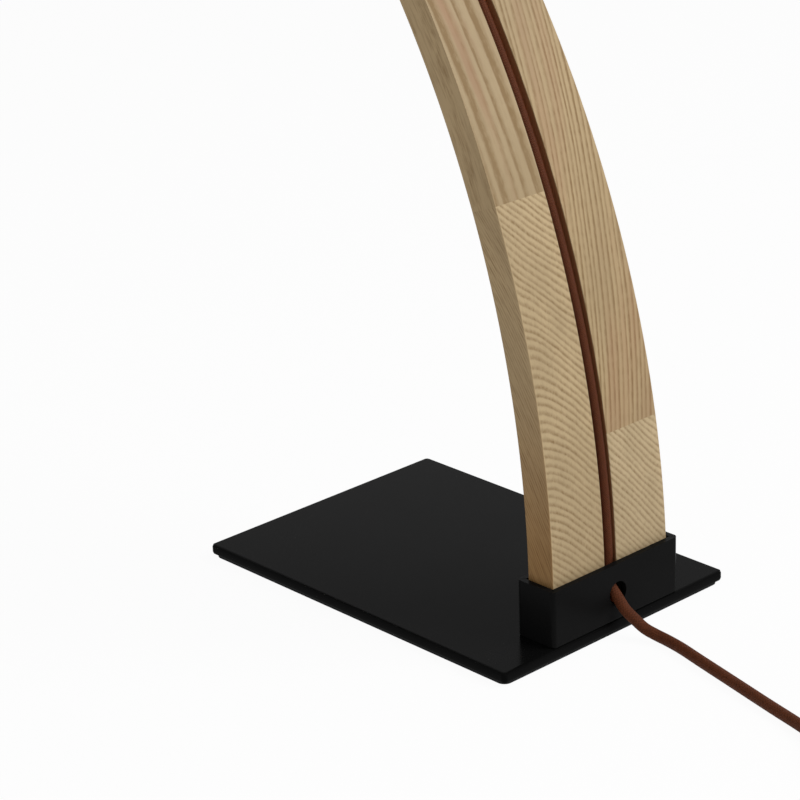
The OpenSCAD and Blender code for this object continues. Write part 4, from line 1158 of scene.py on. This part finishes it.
# The plug: one flat moulding with two round pins, half sleeved in black, and a slit strain
# relief. It lies beside the coil.
plug_low, plug_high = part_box("plug_body")
plug_x = (plug_low.x + plug_high.x) / 2
plug_half_w = (plug_high.x - plug_low.x) / 2
plug_half_t = (plug_high.z - plug_low.z) / 2
plug_z = plug_half_t
plug_side_l = 0.014
plug_round = 0.0045
plug_edge = 0.0008
plug_taper_step = 0.0055
plug_l = plug_high.y - plug_low.y
sections = []
tapered = [plug_side_l + k * plug_taper_step for k in range(4)]
for away in (0, plug_side_l / 2, *tapered, plug_l):
    narrowing = max(away - plug_side_l, 0) / (plug_l - plug_side_l)
    half = plug_half_w + (plug_half_t - plug_half_w) * narrowing
    outline = []
    for corner, (sx, sz) in enumerate(((1, 1), (-1, 1), (-1, -1), (1, -1))):
        middle = (sx * (half - plug_round), sz * (plug_half_t - plug_round))
        outline += bow(middle, plug_round, 90 * corner, 90 * corner + 90, 6)
    sections.append([Vector((plug_x + x, plug_low.y + away, plug_z + z)) for x, z in outline])
plug = loft(sections)
soften(plug, plug_edge)
plug_piece = add_mesh("plug_shell", plug, moulded_black)
seat(plug_piece, "stand", "black_plastic", "plug_body")

relief_l = 0.02
relief_root_r = 0.0055
relief_end_r = 0.0045
relief_core_r = 0.004
relief_cut_w = 0.0015
relief_cuts = 4
relief_edge = 0.00025


def relief_r(away):
    return relief_root_r + (relief_end_r - relief_root_r) * away / relief_l


relief_profile = [(bore_r, 0), (relief_root_r, 0)]
for k in range(1, relief_cuts + 1):
    slit = k * relief_l / (relief_cuts + 1)
    relief_profile += [
        (relief_r(slit), slit), (relief_core_r, slit), (relief_core_r, slit + relief_cut_w),
        (relief_r(slit + relief_cut_w), slit + relief_cut_w)]
relief_profile += [(relief_end_r, relief_l), (bore_r, relief_l)]
relief = turned(relief_profile, 48)
soften(relief, relief_edge)
at_relief = Matrix.Translation((plug_x, plug_high.y, plug_z)) @ Matrix.Rotation(-math.pi / 2, 4, "X")
relief_piece = add_mesh("plug_boot", moved(relief, at_relief), moulded_black)
seat(relief_piece, "stand", "black_plastic", "plug_relief")

pin_r = 0.002
pin_l = 0.019
sleeve_l = 0.009
sleeve_seam_half = 0.0002
sleeve_seam_d = 0.0001
pin_half_spacing = 0.0093
nickel = metal("nickel_pin", tint(170, 168, 160), tint(206, 204, 198), roughness=0.22, grain=1200)
for side, sx in (("left", 1), ("right", -1)):
    pin = turned([
        (0, 0), (pin_r, 0), (pin_r, sleeve_l - sleeve_seam_half), (pin_r - sleeve_seam_d, sleeve_l),
        (pin_r, sleeve_l + sleeve_seam_half), *bow((0, pin_l - pin_r), pin_r, 0, 90, 8)], 32)
    for face in pin.faces:
        face.material_index = 1 if face.calc_center_median().z < sleeve_l else 0
    at_pin = Matrix.Translation((plug_x + sx * pin_half_spacing, plug_low.y, plug_z))
    at_pin = at_pin @ Matrix.Rotation(math.pi / 2, 4, "X")
    pin_piece = add_mesh("prong_" + side, moved(pin, at_pin), nickel, moulded_black)
    seat(pin_piece, "stand", "pin_metal", "plug_pin_" + side)


# The free cord: out of the socket's hole, down to the floor and along it to the switch, then on
# to a neat coil in four layers, held by a strap, and back to the plug.
socket_exit = Vector((0, 0.11273, 0.0195))
lead_points = [
    (0, 0.10425, 0.0362), (0, 0.1048, 0.0299), (0, 0.1075, 0.0247), socket_exit,
    (-0.0002, 0.117, 0.0151), (-0.002, 0.1214, 0.0108), (-0.0043, 0.1264, 0.0063),
    (-0.006, 0.1326, 0.0041), (-0.0066, 0.14, 0.0031), (-0.0049, 0.151, 0.003),
    (-0.0015, 0.165, 0.003), (0.0025, 0.182, 0.003), (0.007, 0.201, 0.003), (0.0115, 0.22, 0.003),
    (0.0155, 0.238, 0.003), (0.0195, 0.252, 0.0038), (0.0225, 0.263, 0.006),
    (0.024, 0.271, 0.0074), (0.024, 0.278, 0.0075)]
lead_route = evenly(eased(lead_points), cord_step)
lead_flex = cord_tube("lead_flex", lead_route, brown_braid)
seat(lead_flex, "stand", "cord_textile", "cord_lead")
route_length(lead_route)

coil_turns = 7.5
coil_layers = 4
coil_r = 0.037
coil_pitch = 0.0066
coil_z = 0.0041
coil_at = Vector((-0.013, 0.378, 0))
layer_turns = coil_turns / coil_layers
coil_steps = 36


def coil_point(turn):
    """A point on the coil, which spirals in and out by turns and climbs where it reverses."""
    layer, share = divmod(turn / layer_turns, 1)
    inwards = share if layer % 2 == 0 else 1 - share
    radius = coil_r - coil_pitch * layer_turns * inwards
    height = sum(climbed(2 * (turn - k * layer_turns) + 0.5) for k in range(1, coil_layers))
    swing = math.tau * turn
    return coil_at + Vector((
        radius * math.cos(swing), radius * math.sin(swing), coil_z + coil_pitch * height))


switch_exit = Vector((0.024, 0.326, 0.0075))
link_points = [
    switch_exit, (0.024, 0.334, 0.0075), (0.024, 0.344, 0.0066), (0.024, 0.356, 0.005),
    (0.024, 0.366, 0.0041), (0.024, 0.372, 0.0041)]
coil_points = [coil_point(k / coil_steps) for k in range(round(coil_turns * coil_steps) + 1)]
tail_points = [
    (-0.05, 0.372, 0.0239), (-0.05, 0.36, 0.0239), (-0.0505, 0.346, 0.0229), (-0.051, 0.33, 0.019),
    (-0.0515, 0.315, 0.0125), (-0.052, 0.302, 0.008), (-0.052, 0.292, 0.00675),
    (-0.052, 0.27, 0.00675)]
coil_route = evenly(eased(link_points) + coil_points + eased(tail_points), cord_step)
coil_flex = cord_tube("coil_flex", coil_route, brown_braid)
seat(coil_flex, "stand", "cord_textile", "cord_link", "cord_coil", "cord_tail")

strap_w = 0.009
strap_t = 0.0008
strap_gap = 0.0003
strap_edge = 0.0002
strap_at = 0.375
end_facing = 0.9
flat_angle = math.radians(1)
strap = bmesh.new()
on_edge = Matrix.Rotation(math.pi / 2, 4, "X")
for side in (-strap_w / 2, strap_w / 2):
    for turn in range(math.ceil(coil_turns - strap_at)):
        cut = coil_point(turn + strap_at) - coil_at
        bmesh.ops.create_circle(
            strap, segments=32, radius=cord_r + strap_gap + strap_t,
            matrix=Matrix.Translation((cut.xy.length, side, cut.z)) @ on_edge)
wrapped = bmesh.ops.convex_hull(strap, input=strap.verts[:])
inside = {*wrapped["geom_interior"], *wrapped["geom_unused"]}
bmesh.ops.delete(strap, geom=list(inside), context="VERTS")
ends = [face for face in strap.faces if abs(face.normal.y) > end_facing]
bmesh.ops.delete(strap, geom=ends, context="FACES")
tidy(strap)
bmesh.ops.dissolve_limit(strap, angle_limit=flat_angle, verts=strap.verts, edges=strap.edges)
bmesh.ops.solidify(strap, geom=strap.faces[:], thickness=strap_t)
soften(strap, strap_edge)
at_strap = Matrix.Translation(coil_at) @ Matrix.Rotation(math.tau * strap_at, 4, "Z")
strap_rubber = coated(
    "strap_rubber", tint(18, 18, 19), tint(30, 30, 31),
    gloss=0.25, roughness=0.7, grain=1200, relief=0.4)
strap_piece = add_mesh("coil_strap", moved(strap, at_strap), strap_rubber)
seat(strap_piece, "stand", "tie_rubber", "cord_tie")
route_length(coil_route)


# What hides inside: the foot's bolts and threaded inserts, and the lampholder's and the switch's
# contacts, terminals and screws. Their solids stay as they are.
def dress(finish, *nodes):
    for node in nodes:
        frame["nodes"][node].material_slots[0].material = finish


brass = metal("dull_brass", tint(140, 112, 62), tint(186, 156, 96), roughness=0.4, grain=800)
cream = coated(
    "cream_moulding", tint(214, 208, 192), tint(230, 226, 214),
    gloss=0.4, roughness=0.4, grain=900, relief=0.1)
cap_metal = metal("bulb_cap_plate", tint(160, 160, 158), tint(200, 200, 198), roughness=0.3, grain=700)
dress(zinc, "foot_bolt_left", "foot_bolt_right", "switch_screw_near", "switch_screw_far")
dress(brass, "foot_insert_left", "foot_insert_right", "terminal_screw_left", "terminal_screw_right",
      "screw_shell", "centre_contact", "switch_terminal_near", "switch_terminal_far")
dress(cream, "holder_insert")
dress(cap_metal, "bulb_cap")
